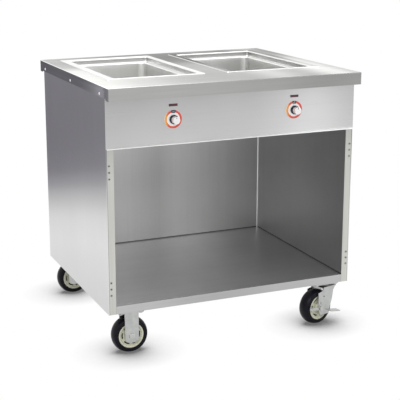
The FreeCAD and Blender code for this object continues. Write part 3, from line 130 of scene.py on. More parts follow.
class TrolleySizes(bpy.types.PropertyGroup):
    """Sizes of what is modelled on top of the CAD model."""

    edge: length("Edge", "Radius of broken sheet edges", 0.0004)
    knob_rib: length("Knob rib", "Height of the grip ribs on a knob's skirt", 0.0005)
    tyre_groove: length("Tyre groove", "Depth of the ring moulded into a tyre's side", 0.0007)
    rim_left: length("Left well's inner rim", "Width of its rim beside the other well", 0.018)
    rim_right: length("Right well's inner rim", "Width of its rim beside the other well", 0.026)
    skirt: length("Knob skirt", "Radius of a knob's skirt", 0.0148)
    cap: length("Knob cap", "Radius of a knob's cap", 0.0123)
    cove: length("Liner cove", "Radius of the bend in the cupboard's back corners", 0.004)


GROUPS = {"trolley_steel": TrolleySteel, "trolley_plastics": TrolleyPlastics,
          "trolley_sizes": TrolleySizes}


def props():
    """The three groups of settings."""
    return [getattr(bpy.context.scene, key) for key in GROUPS]


# ---- surfaces ----

def added(name, data):
    """A new object of some data, in the scene."""
    item = bpy.data.objects.new(name, data)
    bpy.context.scene.collection.objects.link(item)
    return item


def values_of(items, key, width=1, kind=float):
    """One property of all a mesh's items as an array, in rows of a width above 1."""
    values = np.zeros(len(items) * width, kind)
    items.foreach_get(key, values)
    return values.reshape(-1, width) if width > 1 else values


def soften(mesh, degrees):
    """Smooth shading that breaks at edges sharper than an angle."""
    mesh.shade_smooth()
    mesh.set_sharp_from_angle(angle=math.radians(degrees))


def quarter(steps, first=0):
    """One less cosine, and sine, at equal steps of a quarter turn from the one numbered first."""
    turn = [math.radians(a) for a in np.linspace(0, 90, steps)[first:]]
    return [(1 - math.cos(t), math.sin(t)) for t in turn]


def grid_faces(rows, columns, wrap_rows=False, wrap_columns=False):
    """Quads between neighbouring rows and columns of a grid, wrapping where asked."""
    a = np.arange(rows if wrap_rows else rows - 1)
    b = np.arange(columns if wrap_columns else columns - 1)
    a, b = np.meshgrid(a, b, indexing="ij")
    a, b = a.ravel(), b.ravel()
    c, d = (a + 1) % rows, (b + 1) % columns
    return np.stack([a * columns + b, c * columns + b, c * columns + d, a * columns + d], 1)


def add_piece(name, block, material, body, replaces=(), smooth=40.0, values=None):
    """One object from a block of (points, faces); doubles merge, poles close, faces look out.

    values is an attribute's name and its value at each point.
    """
    points, faces = block
    mesh = bpy.data.meshes.new(name)
    mesh.from_pydata(np.asarray(points, float).reshape(-1, 3).tolist(), [], faces.tolist())
    if values:
        layer = mesh.attributes.new(values[0], "FLOAT", "POINT")
        layer.data.foreach_set("value", np.asarray(values[1], np.float32).ravel())
    tidy = bmesh.new()
    tidy.from_mesh(mesh)
    bmesh.ops.remove_doubles(tidy, verts=tidy.verts, dist=1e-6)
    bmesh.ops.dissolve_degenerate(tidy, edges=tidy.edges, dist=1e-7)
    bmesh.ops.recalc_face_normals(tidy, faces=tidy.faces)
    tidy.to_mesh(mesh)
    tidy.free()
    soften(mesh, smooth)
    piece = added(name, mesh)
    mesh.materials.append(material)
    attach(piece, body)
    if replaces:
        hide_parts(*replaces)
    return piece


def turned(profile, centre, axis, steps=96, shape=None):
    """A profile of (radius, height) turned about an axis.

    A point is the centre, plus its height along the axis, plus its radius times the angle's
    cosine and sine on two directions square to the axis. shape(radius, height, angle) may
    return a changed radius and height for the whole grid.
    """
    axis = Vector(axis).normalized()
    side = axis.orthogonal().normalized() if abs(axis.z) > 0.9 else axis.cross(Vector((0, 0, 1)))
    side.normalize()
    third = axis.cross(side)
    profile = np.asarray(profile, float)
    angle = np.linspace(0, 2 * np.pi, steps, endpoint=False)[:, None]
    radius, height = profile[None, :, 0] + 0 * angle, profile[None, :, 1] + 0 * angle
    if shape:
        radius, height = shape(radius, height, angle + 0 * radius)
    points = (np.array(centre) + height[..., None] * np.array(axis)
              + radius[..., None] * (np.cos(angle)[..., None] * np.array(side)
                                     + np.sin(angle)[..., None] * np.array(third)))
    return points, grid_faces(steps, len(profile), wrap_rows=True)


def smoothstep(value, low, high):
    """0 below low, 1 above high; between them three times t squared less twice t cubed."""
    t = np.clip((value - low) / (high - low), 0, 1)
    return t * t * (3 - 2 * t)


def arc(centre, radius, start, stop, steps):
    """Points of an arc in a profile: the centre plus the radius times cosine and sine."""
    t = np.radians(np.linspace(start, stop, steps))
    return [(centre[0] + radius * math.cos(a), centre[1] + radius * math.sin(a)) for a in t]


def rounded_loops(boxes, corner_steps):
    """A stack of rounded rectangles; each row of boxes is (x0, x1, y0, y1, radius, z).

    Every loop has a quarter circle at each corner, the corner's middle plus the radius times
    cosine and sine, so equal places on all loops line up.
    """
    boxes = np.asarray(boxes, float)
    turn = np.radians(np.linspace(0, 90, corner_steps))
    loops = []
    for corner in range(4):
        a = turn + corner * np.pi / 2
        x_edge = boxes[:, 1] - boxes[:, 4] if corner in (0, 3) else boxes[:, 0] + boxes[:, 4]
        y_edge = boxes[:, 3] - boxes[:, 4] if corner in (0, 1) else boxes[:, 2] + boxes[:, 4]
        x = x_edge[:, None] + boxes[:, 4:5] * np.cos(a)
        y = y_edge[:, None] + boxes[:, 4:5] * np.sin(a)
        loops.append(np.stack([x, y, boxes[:, 5:6] + 0 * x], -1))
    return np.concatenate(loops, 1)


def dressed_copy(node, material, edge):
    """A CAD node's own surface with merged triangles, flat faces joined and edges broken."""
    source = NODES[node]
    mesh = bpy.data.meshes.new(node + "_dressed")
    tidy = bmesh.new()
    tidy.from_mesh(source.data)
    bmesh.ops.remove_doubles(tidy, verts=tidy.verts, dist=2e-6)
    bmesh.ops.dissolve_limit(tidy, angle_limit=math.radians(0.6), verts=tidy.verts,
                             edges=tidy.edges)
    tidy.to_mesh(mesh)
    tidy.free()
    mesh.materials.clear()
    mesh.materials.append(material)
    soften(mesh, 35)
    flatten_wide(mesh, 4 * MM)
    piece = added(node + "_dressed", mesh)
    if edge:
        bevel = piece.modifiers.new("Edges", "BEVEL")
        bevel.width = edge
        bevel.segments = 2
        bevel.limit_method = "ANGLE"
        bevel.angle_limit = math.radians(50)
        bevel.harden_normals = True
        bevel.use_clamp_overlap = True
    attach(piece, source["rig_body"])
    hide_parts(node)
    return piece


def face_towards(piece, direction):
    """Turns an open shell over if most of its area looks away from a direction."""
    faces = piece.data.polygons
    if (values_of(faces, "area") * (values_of(faces, "normal", 3) @ direction)).sum() < 0:
        piece.data.flip_normals()


def flatten_wide(mesh, width):
    """Shades faces flat whose area over half their outline is more than a width."""
    area = values_of(mesh.polygons, "area")
    first = values_of(mesh.polygons, "loop_start", 1, np.int64)
    side = values_of(mesh.loops, "edge_index", 1, np.int64)
    ends = values_of(mesh.vertices, "co", 3)[values_of(mesh.edges, "vertices", 2, np.int64)]
    outline = np.add.reduceat(np.linalg.norm(ends[:, 0] - ends[:, 1], axis=1)[side], first)
    mesh.polygons.foreach_set("use_smooth", 2 * area / outline < width)


def finish_faces(piece, choose, material):
    """Gives another finish to the faces that choose(spot, out) picks.

    spot and out are the coordinates of the faces' centres and normals, an array each for 0 to 2.
    """
    faces = piece.data.polygons
    index = values_of(faces, "material_index", 1, np.int32)
    chosen = choose(values_of(faces, "center", 3).T, values_of(faces, "normal", 3).T)
    piece.data.materials.append(material)
    index[chosen] = len(piece.data.materials) - 1
    faces.foreach_set("material_index", index)


def paint(node, material):
    """Gives a CAD node that stays as it is its finish."""
    slots = NODES[node].data.materials
    slots.clear()
    slots.append(material)


# ---- materials ----

class Shader:
    """A material's node tree with short calls for its nodes and links."""

    def __init__(self, name):
        self.material = bpy.data.materials.new(name)
        self.material.use_nodes = True
        self.tree = self.material.node_tree
        self.main = self.tree.nodes["Principled BSDF"]

    def add(self, kind, **inputs):
        """A node; plain values fill its sockets and sockets are linked to them."""
        node = self.tree.nodes.new(kind)
        for key, value in inputs.items():
            self.put(node.inputs[int(key[1:]) if key[1:].isdigit() else key], value)
        return node

    def put(self, socket, value):
        """Links or sets one socket."""
        if isinstance(value, bpy.types.NodeSocket):
            self.tree.links.new(value, socket)
        else:
            socket.default_value = value

    def set(self, **inputs):
        """Sets or links sockets of the main shader; underscores stand for spaces."""
        for key, value in inputs.items():
            self.put(self.main.inputs[key.replace("_", " ")], value)

    def place(self, scale=(1, 1, 1), offset=(0, 0, 0)):
        """Object coordinates, scaled and moved."""
        coordinates = self.tree.nodes.new("ShaderNodeTexCoord").outputs["Object"]
        mapping = self.add("ShaderNodeMapping", Vector=coordinates, Scale=scale, Location=offset)
        return mapping.outputs["Vector"]

    def along(self, direction):
        """Distance along a direction of the piece, in metres for a unit direction."""
        node = self.add("ShaderNodeVectorMath", _0=self.place(), _1=direction)
        node.operation = "DOT_PRODUCT"
        return node.outputs["Value"]

    def noise(self, vector, scale, detail=4.0, roughness=0.55):
        """A noise field from 0 to 1."""
        node = self.add("ShaderNodeTexNoise", Vector=vector, Scale=scale, Detail=detail,
                        Roughness=roughness)
        return node.outputs["Fac"]

    def between(self, value, low, high, out_low, out_high, smooth=False):
        """Maps a value from one span to another, held at the ends."""
        node = self.tree.nodes.new("ShaderNodeMapRange")
        node.interpolation_type = "SMOOTHSTEP" if smooth else "LINEAR"
        for key, item in zip((0, 1, 2, 3, 4), (value, low, high, out_low, out_high)):
            self.put(node.inputs[key], item)
        return node.outputs["Result"]

    def math(self, operation, first, second=0.0):
        """One arithmetic step."""
        node = self.tree.nodes.new("ShaderNodeMath")
        node.operation = operation
        self.put(node.inputs[0], first)
        self.put(node.inputs[1], second)
        return node.outputs[0]

    def ramp(self, value, stops):
        """A grey ramp over stops of (place, brightness)."""
        node = self.add("ShaderNodeValToRGB", Fac=value)
        node.color_ramp.interpolation = "EASE" if len(stops) < 3 else "CARDINAL"
        band = node.color_ramp.elements
        for index, (spot, level) in enumerate(stops):
            item = band[index] if index < 2 else band.new(spot)
            item.position = spot
            item.color = (level, level, level, 1.0)
        return node.outputs["Color"]

    def mix(self, kind, amount, first, second):
        """Two colours blended."""
        node = self.tree.nodes.new("ShaderNodeMix")
        node.data_type = "RGBA"
        node.blend_type = kind
        self.put(node.inputs["Factor"], amount)
        colours = [item for item in node.inputs if item.type == "RGBA"]
        self.put(colours[0], first)
        self.put(colours[1], second)
        return next(item for item in node.outputs if item.type == "RGBA")

    def plan(self, scale):
        """Distances across, up and out from the middle of the piece's own UV map."""
        plane = self.add("ShaderNodeUVMap").outputs["UV"]
        split = self.add("ShaderNodeSeparateXYZ", Vector=plane)
        across, up = (self.math("SUBTRACT", self.math("MULTIPLY", split.outputs[i], scale),
                                scale / 2) for i in (0, 1))
        return across, up, self.math("SQRT", self.math(
            "ADD", self.math("MULTIPLY", across, across), self.math("MULTIPLY", up, up)))

    def bump(self, height, strength, distance):
        """Links a bump to the main shader."""
        node = self.add("ShaderNodeBump", Height=height, Strength=strength, Distance=distance)
        self.put(self.main.inputs["Normal"], node.outputs["Normal"])


def rgba(value):
    """A colour with full alpha."""
    return (*value, 1.0)


def linear(level):
    """Linear brightness of a grey given as 0 to 255."""
    part = level / 255
    return part / 12.92 if part <= 0.04045 else ((part + 0.055) / 1.055) ** 2.4


def steel(name, tint, grain="x", roughness=0.32, streak=0.10, painted_light_drifts=(), cloud=0.05, seam_shadows=(),
          edge=False, satin=0.0, cast=None):
    """Brushed sheet: fine streaks along the grain, soft clouds, and painted reflections and shade
    as a slow drift of tone.

    Each drift is (direction, stops): painted reflection and shade, a grey ramp along a direction
    of the piece, whose stops are a distance in metres and a grey of 0 to 255. Each seam shadow is
    (direction, distance, half width, share): a thin painted shadow line at a distance, with that
    share of the tone. With edge the painted tone also holds at a flat angle; satin is the share
    that scatters light. cast is (direction, low, high, colour): a tint of painted reflection that
    sets in between two distances.
    """
    s = Shader(name)
    narrow = [3.0 if axis == grain else 260.0 for axis in "xyz"]
    wide = [0.8 if axis == grain else 40.0 for axis in "xyz"]
    fine = s.noise(s.place(narrow), 1.0, 5.0, 0.6)
    broad = s.noise(s.place(wide, (3.1, 1.7, 2.3)), 1.0, 2.0, 0.5)
    clouds = s.noise(s.place(), 2.6, 3.0, 0.5)
    tone = s.math("ADD", s.between(fine, 0.25, 0.75, -streak, streak),
                  s.between(broad, 0.3, 0.7, -streak * 0.4, streak * 0.4))
    tone = s.math("ADD", tone, s.between(clouds, 0.3, 0.7, 1 - cloud, 1 + cloud))
    shade = s.mix("MULTIPLY", 1.0, rgba(tint), tone)
    # painted reflections and shade: grey ramps along the piece
    for direction, stops in painted_light_drifts:
        first, last = stops[0][0], stops[-1][0]
        along = s.between(s.along(direction), first, last, 0.0, 1.0)
        painted_tones = [((spot - first) / (last - first), linear(level)) for spot, level in stops]
        shade = s.mix("MULTIPLY", 1.0, shade, s.ramp(along, painted_tones))
    # painted shadow lines where parts meet
    for direction, middle, half, part in seam_shadows:
        away = s.math("ABSOLUTE", s.math("SUBTRACT", s.along(direction), middle))
        shade = s.mix("MULTIPLY", 1.0, shade, s.between(away, 0.8 * half, half, part, 1.0))
    # painted reflection: a cool tint where the painted tone is dark
    if cast:
        direction, low, high, colour = cast
        sets_in = s.between(s.along(direction), low, high, 0.0, 1.0, True)
        shade = s.mix("MULTIPLY", sets_in, shade, rgba(colour))
    s.set(Base_Color=shade, Metallic=1.0 - satin,
          Roughness=s.between(fine, 0.2, 0.8, roughness - 0.05, roughness + 0.07))
    if edge:
        s.set(Specular_Tint=shade)
    s.bump(fine, 0.12, 0.00025)
    return s.material


def zinc(name, tint, roughness=0.36):
    """Bright zinc plate: faint mottling, a little patchy gloss and small handling marks."""
    s = Shader(name)
    spots = s.noise(s.place(), 55.0, 5.0, 0.6)
    wear = s.noise(s.place((1, 1, 1), (0.4, 0.2, 0.1)), 230.0, 3.0, 0.6)
    tone = s.math("ADD", s.between(spots, 0.3, 0.7, 0.86, 1.06),
                  s.between(wear, 0.55, 0.75, 0.0, -0.10))
    s.set(Base_Color=s.mix("MULTIPLY", 1.0, rgba(tint), tone), Metallic=1.0,
          Roughness=s.between(spots, 0.3, 0.7, roughness - 0.08, roughness + 0.10))
    s.bump(wear, 0.10, 0.0002)
    return s.material


def moulded(name, tint, roughness=0.4, fleck=0.06, scale=180.0, bump=0.08):
    """Moulded plastic: slight unevenness of tone and a fine skin texture."""
    s = Shader(name)
    skin = s.noise(s.place(), scale, 4.0, 0.6)
    slow = s.noise(s.place((1, 1, 1), (1.0, 2.0, 3.0)), 14.0, 3.0, 0.5)
    tone = s.math("ADD", s.between(skin, 0.3, 0.7, -fleck, fleck),
                  s.between(slow, 0.3, 0.7, 1 - fleck, 1 + fleck))
    s.set(Base_Color=s.mix("MULTIPLY", 1.0, rgba(tint), tone),
          Roughness=s.between(skin, 0.3, 0.7, roughness - 0.06, roughness + 0.08))
    s.bump(skin, bump, 0.0003)
    return s


def rubber(name, tint):
    """Tyre rubber: near black, greyer dust on the tread, fine pores."""
    s = moulded(name, tint, 0.32, 0.10, 320.0, 0.10)
    dust = s.noise(s.place(), 38.0, 5.0, 0.65)
    base = s.main.inputs["Base Color"].links[0].from_socket
    s.set(Base_Color=s.mix("MIX", s.between(dust, 0.5, 0.8, 0.0, 0.10), base,
                           (0.05, 0.05, 0.055, 1.0)), Specular_IOR_Level=0.13)
    return s.material


# ---- pieces ----

def well_boxes(side, rim_inner):
    """Loops of a well from its rim's outer edge over the lip, down to the pan's floor.

    Each bend is a quarter circle: going round it, the inset and the height change with the
    cosine and sine. The pan's wall falls at a slope of 2 degrees, and its foot is a bend too.
    """
    low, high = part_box(side + "_well")
    left = side == "left"
    outer, inner, front, back = 30 * MM, 40 * MM, 14 * MM, 28 * MM
    x0 = low.x + (outer if left else inner)
    x1 = high.x - (inner if left else outer)
    y0, y1 = low.y + front, high.y - back
    top = high.z
    deck = top - 2.5 * MM
    boxes = []
    edge_low = low.x if left else x0 - rim_inner
    edge_high = x1 + rim_inner if left else high.x

    def rim(inset, radius, z):
        boxes.append((edge_low + inset, edge_high - inset, low.y + inset, high.y - inset,
                      radius, z))

    def bowl(inset, radius, z):
        boxes.append((x0 + inset, x1 - inset, y0 + inset, y1 - inset, radius, z))

    turn, edge = 8 * MM, 2.0 * MM
    rim(0.0, turn, deck + 0.02 * MM)
    for out, up in quarter(6):
        rim(edge * out, turn - 0.6 * edge * out, top - edge + edge * up)
    lip, wall = 4 * MM, 9 * MM
    for out, up in quarter(9):
        bowl(-lip * (1 - up), wall + lip * (1 - up), top - lip * out)
    ledge = deck - 17 * MM
    bend = 3 * MM
    for out, up in quarter(6):
        bowl(bend * out, wall - 0.3 * bend * out, ledge + bend - bend * up)
    shelf, corner, roll = 16 * MM, 28 * MM, 4 * MM
    for out, up in quarter(8):
        bowl(shelf - roll * (1 - up), corner + roll * (1 - up), ledge - roll * out)
    slope = math.tan(math.radians(2))
    depth, foot = 150 * MM, 18 * MM
    for drop in np.linspace(roll, depth - foot, 12)[1:]:
        bowl(shelf + slope * drop, corner - 0.2 * slope * drop, ledge - drop)
    base = shelf + slope * (depth - foot)
    for out, up in quarter(9, 1):
        bowl(base + foot * out, max(corner - foot * out, 8 * MM), ledge - depth + foot - foot * up)
    return boxes


# heights that part the finishes of a well: the rim's flat, the recess wall and the pan
RIM_FLAT, RECESS_TOP, RECESS_FOOT, PAN_TOP = 0.915, 0.9125, 0.898, 0.8915
# where the worktop's ends begin, and where the fascia's drip lip ends, upwards and backwards
WORKTOP_END, LIP_TOP, LIP_BACK = 0.45, 0.7155, -0.3668
# painted reflections and shade on the deck: its tone drifts from front to back and from left to
# right
PAINTED_DECK_LIGHT = [
    ((0, 1, 0), [(-0.40, 255), (-0.02, 254), (0.05, 248), (0.10, 235), (0.15, 223),
                 (0.25, 216), (0.30, 218), (0.40, 224)]),
    ((1, 0, 0), [(-0.457, 250), (-0.40, 244), (-0.336, 233), (-0.252, 223), (-0.168, 215),
                 (-0.084, 211), (0.0, 209), (0.084, 212), (0.168, 226), (0.252, 212),
                 (0.30, 216), (0.345, 236), (0.40, 243), (0.44, 228), (0.457, 226)])]


class TROLLEY_OT_wells(bpy.types.Operator):
    """Drawn wells with raised rims, a pan ledge and a rounded pan"""

    bl_idname = "trolley.wells"
    bl_label = "Wells"

    def execute(self, context):
        metal, _, sizes = props()
        # painted shade and reflections in the wells: the grey of each recess wall, and the pan's
        # ramp across the well
        painted_tones = {
            "left": (192, [(-0.36, 228), (-0.13, 224), (-0.075, 210)]),
            "right": (175, [(0.07, 228), (0.20, 224), (0.30, 212), (0.36, 208)])}
        for side in SIDES:
            recess, pan = painted_tones[side]
            # painted reflection: the shell's tone dims a little upwards
            finish = steel(side + " well steel", metal.worktop, "y", 0.30, 0.03, [
                ((0, 0, 1), [(0.89, 248), (0.917, 244)])], 0.03)
            loops = rounded_loops(well_boxes(side, getattr(sizes, "rim_" + side)), 12)
            pole = loops[-1].mean(0)
            loops = np.concatenate([loops, np.broadcast_to(pole, loops[-1:].shape)])
            block = (loops, grid_faces(len(loops), loops.shape[1], wrap_columns=True))
            piece = add_piece(side + "_well_shell", block, finish, "cabinet",
                              (side + "_well",), 60)
            face_towards(piece, (0, 0, 1))
            # painted shade on the recess wall, darker towards its top
            wall = steel(side + " recess steel", metal.worktop, "x", 0.30, 0.05, [
                ((0, 0, 1), [(RECESS_FOOT, recess + 12), (0.912, recess - 8)])], 0.04)
            finish_faces(piece, lambda spot, out: (abs(out[2]) < 0.5)
                         & (spot[2] > RECESS_FOOT) & (spot[2] < RECESS_TOP), wall)
            if side == "right":
                # painted reflections on the right well's flat rim, on top of the deck's
                flat = steel("right rim steel", metal.worktop, "y", 0.30, 0.03, PAINTED_DECK_LIGHT + [
                    ((0, 1, 0), [(-0.30, 237), (-0.10, 237), (0.0, 223), (0.10, 209),
                                 (0.20, 237), (0.32, 236)])], edge=True)
                finish_faces(piece, lambda spot, out: (out[2] > 0.99) & (spot[2] > RIM_FLAT), flat)
            # painted shade and reflections on the pan, across the well
            pan_painted_shade = steel(side + " pan steel", metal.worktop, "z", 0.32, 0.015, [
                ((1, 0, 0), pan)], 0.05)
            finish_faces(piece, lambda spot, out: spot[2] < PAN_TOP, pan_painted_shade)
            sheet = piece.modifiers.new("Sheet", "SOLIDIFY")
            sheet.thickness = 1.2 * MM
            sheet.offset = -1.0
        return {"FINISHED"}


class TROLLEY_OT_worktop(bpy.types.Operator):
    """Folded worktop with its nosings, ears and side flanges"""

    bl_idname = "trolley.worktop"
    bl_label = "Worktop"

    def execute(self, context):
        metal, _, sizes = props()
        # painted reflections and shade drift over the deck
        deck = steel("worktop steel", metal.worktop, "x", 0.30, metal.grain, PAINTED_DECK_LIGHT, edge=True)
        piece = dressed_copy("worktop", deck, sizes.edge)
        # painted shade on the nosing, darker towards the right
        nosing = steel("nosing steel", metal.worktop, "x", 0.30, metal.grain, [
            ((1, 0, 0), [(-0.457, 173), (-0.1, 168), (0.12, 162), (0.3, 150), (0.457, 151)])])
        finish_faces(piece, lambda spot, out: abs(out[1]) > 0.7, nosing)
        # painted reflection on the side flanges, darker towards the back
        flange = steel("flange steel", metal.side, "y", 0.32, metal.grain, [
            ((0, 1, 0), [(-0.40, 160), (-0.37, 152), (-0.335, 173), (-0.25, 160), (-0.12, 144),
                         (0.10, 142), (0.40, 140)])], edge=True)
        finish_faces(piece, lambda spot, out: (abs(out[0]) > 0.7)
                     & (abs(spot[0]) > WORKTOP_END), flange)
        # painted highlight: the bends beside the flanges keep the full bright tone
        bend = steel("bend steel", metal.worktop, "y", 0.30, metal.grain)
        finish_faces(piece, lambda spot, out: (abs(out[0]) > 0.1) & (out[2] > 0.2)
                     & (abs(spot[0]) > WORKTOP_END), bend)
        paint("deck_brace", steel("brace steel", metal.hidden, "y"))
        return {"FINISHED"}


class TROLLEY_OT_cabinet(bpy.types.Operator):
    """Outer panels, posts, fascia and the back"""

    bl_idname = "trolley.cabinet"
    bl_label = "Cabinet"

    def execute(self, context):
        metal, _, sizes = props()
        # painted reflection on the side panels: light low down, dark high up, with a cool cast
        # where dark
        painted_panel_fade = [(0.10, 226), (0.24, 230), (0.33, 232), (0.42, 222), (0.50, 194), (0.56, 170),
                (0.64, 160), (0.80, 158), (1.0, 161)]
        for side in SIDES:
            finish = steel(side + " panel steel", metal.panel, "z", 0.34, 0.012,
                           [((0, 0.24, 1), painted_panel_fade)], 0.02, edge=True,
                           cast=((0, 0.24, 1), 0.42, 0.60, metal.side))
            dressed_copy(side + "_side_panel", finish, sizes.edge)
            # painted shade: the posts darken towards the top, with a painted shadow line where they
            # meet the side panels
            finish = steel(side + " post steel", metal.post, "z", 0.3, 0.06,
                           [((0, 0, 1), [(0.15, 200), (0.6, 202), (0.72, 186)])], 0.05,
                           [((1 if side == "right" else -1, 0, 0), 0.4531, 0.0011, 0.25)])
            dressed_copy(side + "_front_post", finish, sizes.edge)
        # painted shade: the back darkens upwards
        back = steel("back steel", metal.panel, "x", 0.34, 0.05, [((0, 0, 1), [
            (0.15, 200), (0.9, 160)])])
        dressed_copy("back_panel", back, sizes.edge)
        # painted reflections on the fascia, across it and upwards
        fascia = steel("fascia steel", metal.panel, "x", 0.30, 0.02, [
            ((1, 0, 0), [(-0.4555, 222), (-0.1, 224), (0.1, 231), (0.3, 250), (0.4555, 229)]),
            ((0, 0, 1), [(0.70, 222), (0.79, 216), (0.87, 205)])])
        piece = dressed_copy("fascia", fascia, 0.0)
        lip = steel("lip steel", metal.panel, "x", 0.34, 0.03, satin=0.35)
        finish_faces(piece, lambda spot, out: (out[1] < -0.1) & (spot[2] < LIP_TOP)
                     & (spot[1] < LIP_BACK), lip)
        # painted highlight along the top of the drip lip
        top = steel("lip top steel", metal.panel, "x", 0.34, 0.03, [
            ((1, 0, 0), [(-0.4555, 240), (0.4555, 246)])])
        finish_faces(piece, lambda spot, out: (out[2] > 0.95) & (spot[2] < LIP_TOP), top)
        return {"FINISHED"}


class TROLLEY_OT_cupboard(bpy.types.Operator):
    """Inner liners, the bay floor and the bottom shelf"""

    bl_idname = "trolley.cupboard"
    bl_label = "Cupboard"

    def execute(self, context):
        metal, _, sizes = props()
        # painted shade inside the cupboard: each liner's grey at foot, waist and head, with a
        # painted shadow line along its foot
        painted_tones = {"left": (190, 200, 196), "right": (176, 164, 159)}
        for side in SIDES:
            foot, waist, head = painted_tones[side]
            finish = steel(side + " liner steel", metal.liner, "z", 0.38, 0.04, [
                ((0, 0, 1), [(0.17, foot), (0.45, waist), (0.72, head)])], 0.05,
                [((0, 0, 1), 0.1775, 0.0035, 0.25)])
            dressed_copy(side + "_liner", finish, 0.0)
            self.cove(side, sizes.cove, steel(side + " cove steel", (0.8, 0.8, 0.8), "z"))
        # painted reflections and shade on the back liner, across it and upwards, with a painted
        # shadow line along its foot
        back = steel("back liner steel", metal.liner, "z", 0.38, 0.04, [
            ((1, 0, 0), [(-0.43, 200), (-0.15, 192), (-0.02, 178), (0.05, 193), (0.12, 197),
                         (0.25, 197), (0.43, 183)]),
            ((0, 0, 1), [(0.17, 246), (0.30, 243), (0.45, 234), (0.58, 247), (0.72, 253)])], 0.05,
            [((0, 0, 1), 0.1775, 0.0035, 0.25)])
        dressed_copy("back_liner", back, 0.0)
        ceiling = steel("bay floor steel", (0.85, 0.85, 0.85), "x", 0.38, 0.04)
        dressed_copy("bay_floor", ceiling, 0.0)
        # painted reflections on the shelf, brighter to the front and left, with a painted shadow
        # line along its front edge
        shelf = steel("shelf steel", metal.liner, "x", 0.36, 0.04, [
            ((1, 0, 0), [(-0.43, 255), (-0.2, 246), (0.1, 248), (0.25, 231), (0.43, 207)]),
            ((0, 1, 0), [(-0.36, 255), (-0.2, 246), (0.32, 242)])],
            0.05, [((0, 1, 0), -0.3557, 0.0014, 0.45)])
        piece = dressed_copy("bottom_shelf", shelf, sizes.edge)
        # painted shade on the shelf's front edge
        edge = steel("shelf edge steel", metal.panel, "x", 0.32, 0.05, [
            ((1, 0, 0), [(-0.43, 194), (-0.1, 178), (0.43, 184)])])
        finish_faces(piece, lambda spot, out: abs(out[1]) > 0.7, edge)
        channel = steel("channel steel", metal.hidden, "y", 0.4, 0.05)
        for side in SIDES:
            dressed_copy(side + "_caster_channel", channel, sizes.edge)
        return {"FINISHED"}

    def cove(self, side, radius, finish):
        """Bend in a back corner of the liners: a quarter circle carried up the corner."""
        low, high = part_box("back_liner")
        sign = 1 if side == "right" else -1
        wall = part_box(side + "_liner")[0 if sign > 0 else 1].x
        angle = np.radians(np.linspace(0, 90, 13))[:, None]
        z = np.array([[low.z + 0.1 * MM, high.z - 0.1 * MM]])
        x = wall - sign * (radius - (radius - 0.05 * MM) * np.cos(angle)) + 0 * z
        y = low.y - radius + (radius - 0.05 * MM) * np.sin(angle) + 0 * z
        block = (np.stack([x, y, z + 0 * angle], -1), grid_faces(13, 2))
        piece = add_piece(side + "_liner_cove", block, finish, "cabinet")
        face_towards(piece, (0, -1, 0))


class TROLLEY_OT_hidden(bpy.types.Operator):
    """What lies between the wells and the cupboard"""

    bl_idname = "trolley.hidden"
    bl_label = "Inner parts"

    def execute(self, context):
        metal = props()[0]
        finishes = {
            "well_jacket": steel("jacket steel", metal.hidden, "x", 0.45, 0.05),
            "insulation": moulded("mineral wool", (0.62, 0.52, 0.25), 0.9, 0.2, 90, 0.8).material,
            "heating_rod": zinc("rod sheath", (0.25, 0.23, 0.21), 0.5),
            "thermostat": moulded("thermostat case", (0.03, 0.03, 0.03), 0.5).material}
        for side in SIDES:
            for piece, finish in finishes.items():
                paint(side + "_" + piece, finish)
            paint(side + "_shaft", zinc(side + " spindle", metal.zinc))
        return {"FINISHED"}


def dial_material(plastics):
    """Printed dial: white middle, red ring that warms to orange on its left side."""
    s = Shader("dial print")
    across, _, radius = s.plan(2.0)
    warm = s.between(across, -0.95, -0.45, 1.0, 0.0, True)
    band = s.mix("MIX", warm, rgba(plastics.ring), rgba(plastics.warm))
    ring = s.between(radius, 0.715, 0.75, 0.0, 1.0)
    rim = s.between(radius, 0.975, 0.99, 0.0, 1.0)
    shade = s.mix("MIX", ring, (0.98, 0.98, 0.97, 1.0), band)
    shade = s.mix("MIX", rim, shade, (0.80, 0.80, 0.80, 1.0))
    s.set(Base_Color=shade, Roughness=0.35)
    grit = s.noise(s.place(), 900.0, 2.0)
    s.bump(grit, 0.03, 0.0001)
    return s.material


def cap_material():
    """Turned aluminium cap: fine rings round its middle, from the piece's own UV map."""
    s = Shader("knob cap")
    rings = s.math("SINE", s.math("MULTIPLY", s.plan(1.0)[2], 260.0))
    s.set(Base_Color=s.mix("MULTIPLY", 1.0, (0.86, 0.86, 0.86, 1.0),
                           s.between(rings, -1.0, 1.0, 0.9, 1.0)),
          Metallic=0.55, Roughness=0.36)
    s.bump(rings, 0.1, 0.0001)
    return s.material


def plane_uv(piece, centre, size):
    """A UV map from X and Z, one unit across size about centre."""
    mesh = piece.data
    layer = mesh.uv_layers.new(name="Plan")
    spots = values_of(mesh.vertices, "co", 3)
    uv = np.stack([(spots[:, 0] - centre[0]) / size, (spots[:, 2] - centre[2]) / size], 1) + 0.5
    layer.data.foreach_set("uv", uv[values_of(mesh.loops, "vertex_index", 1, np.int64)].ravel())


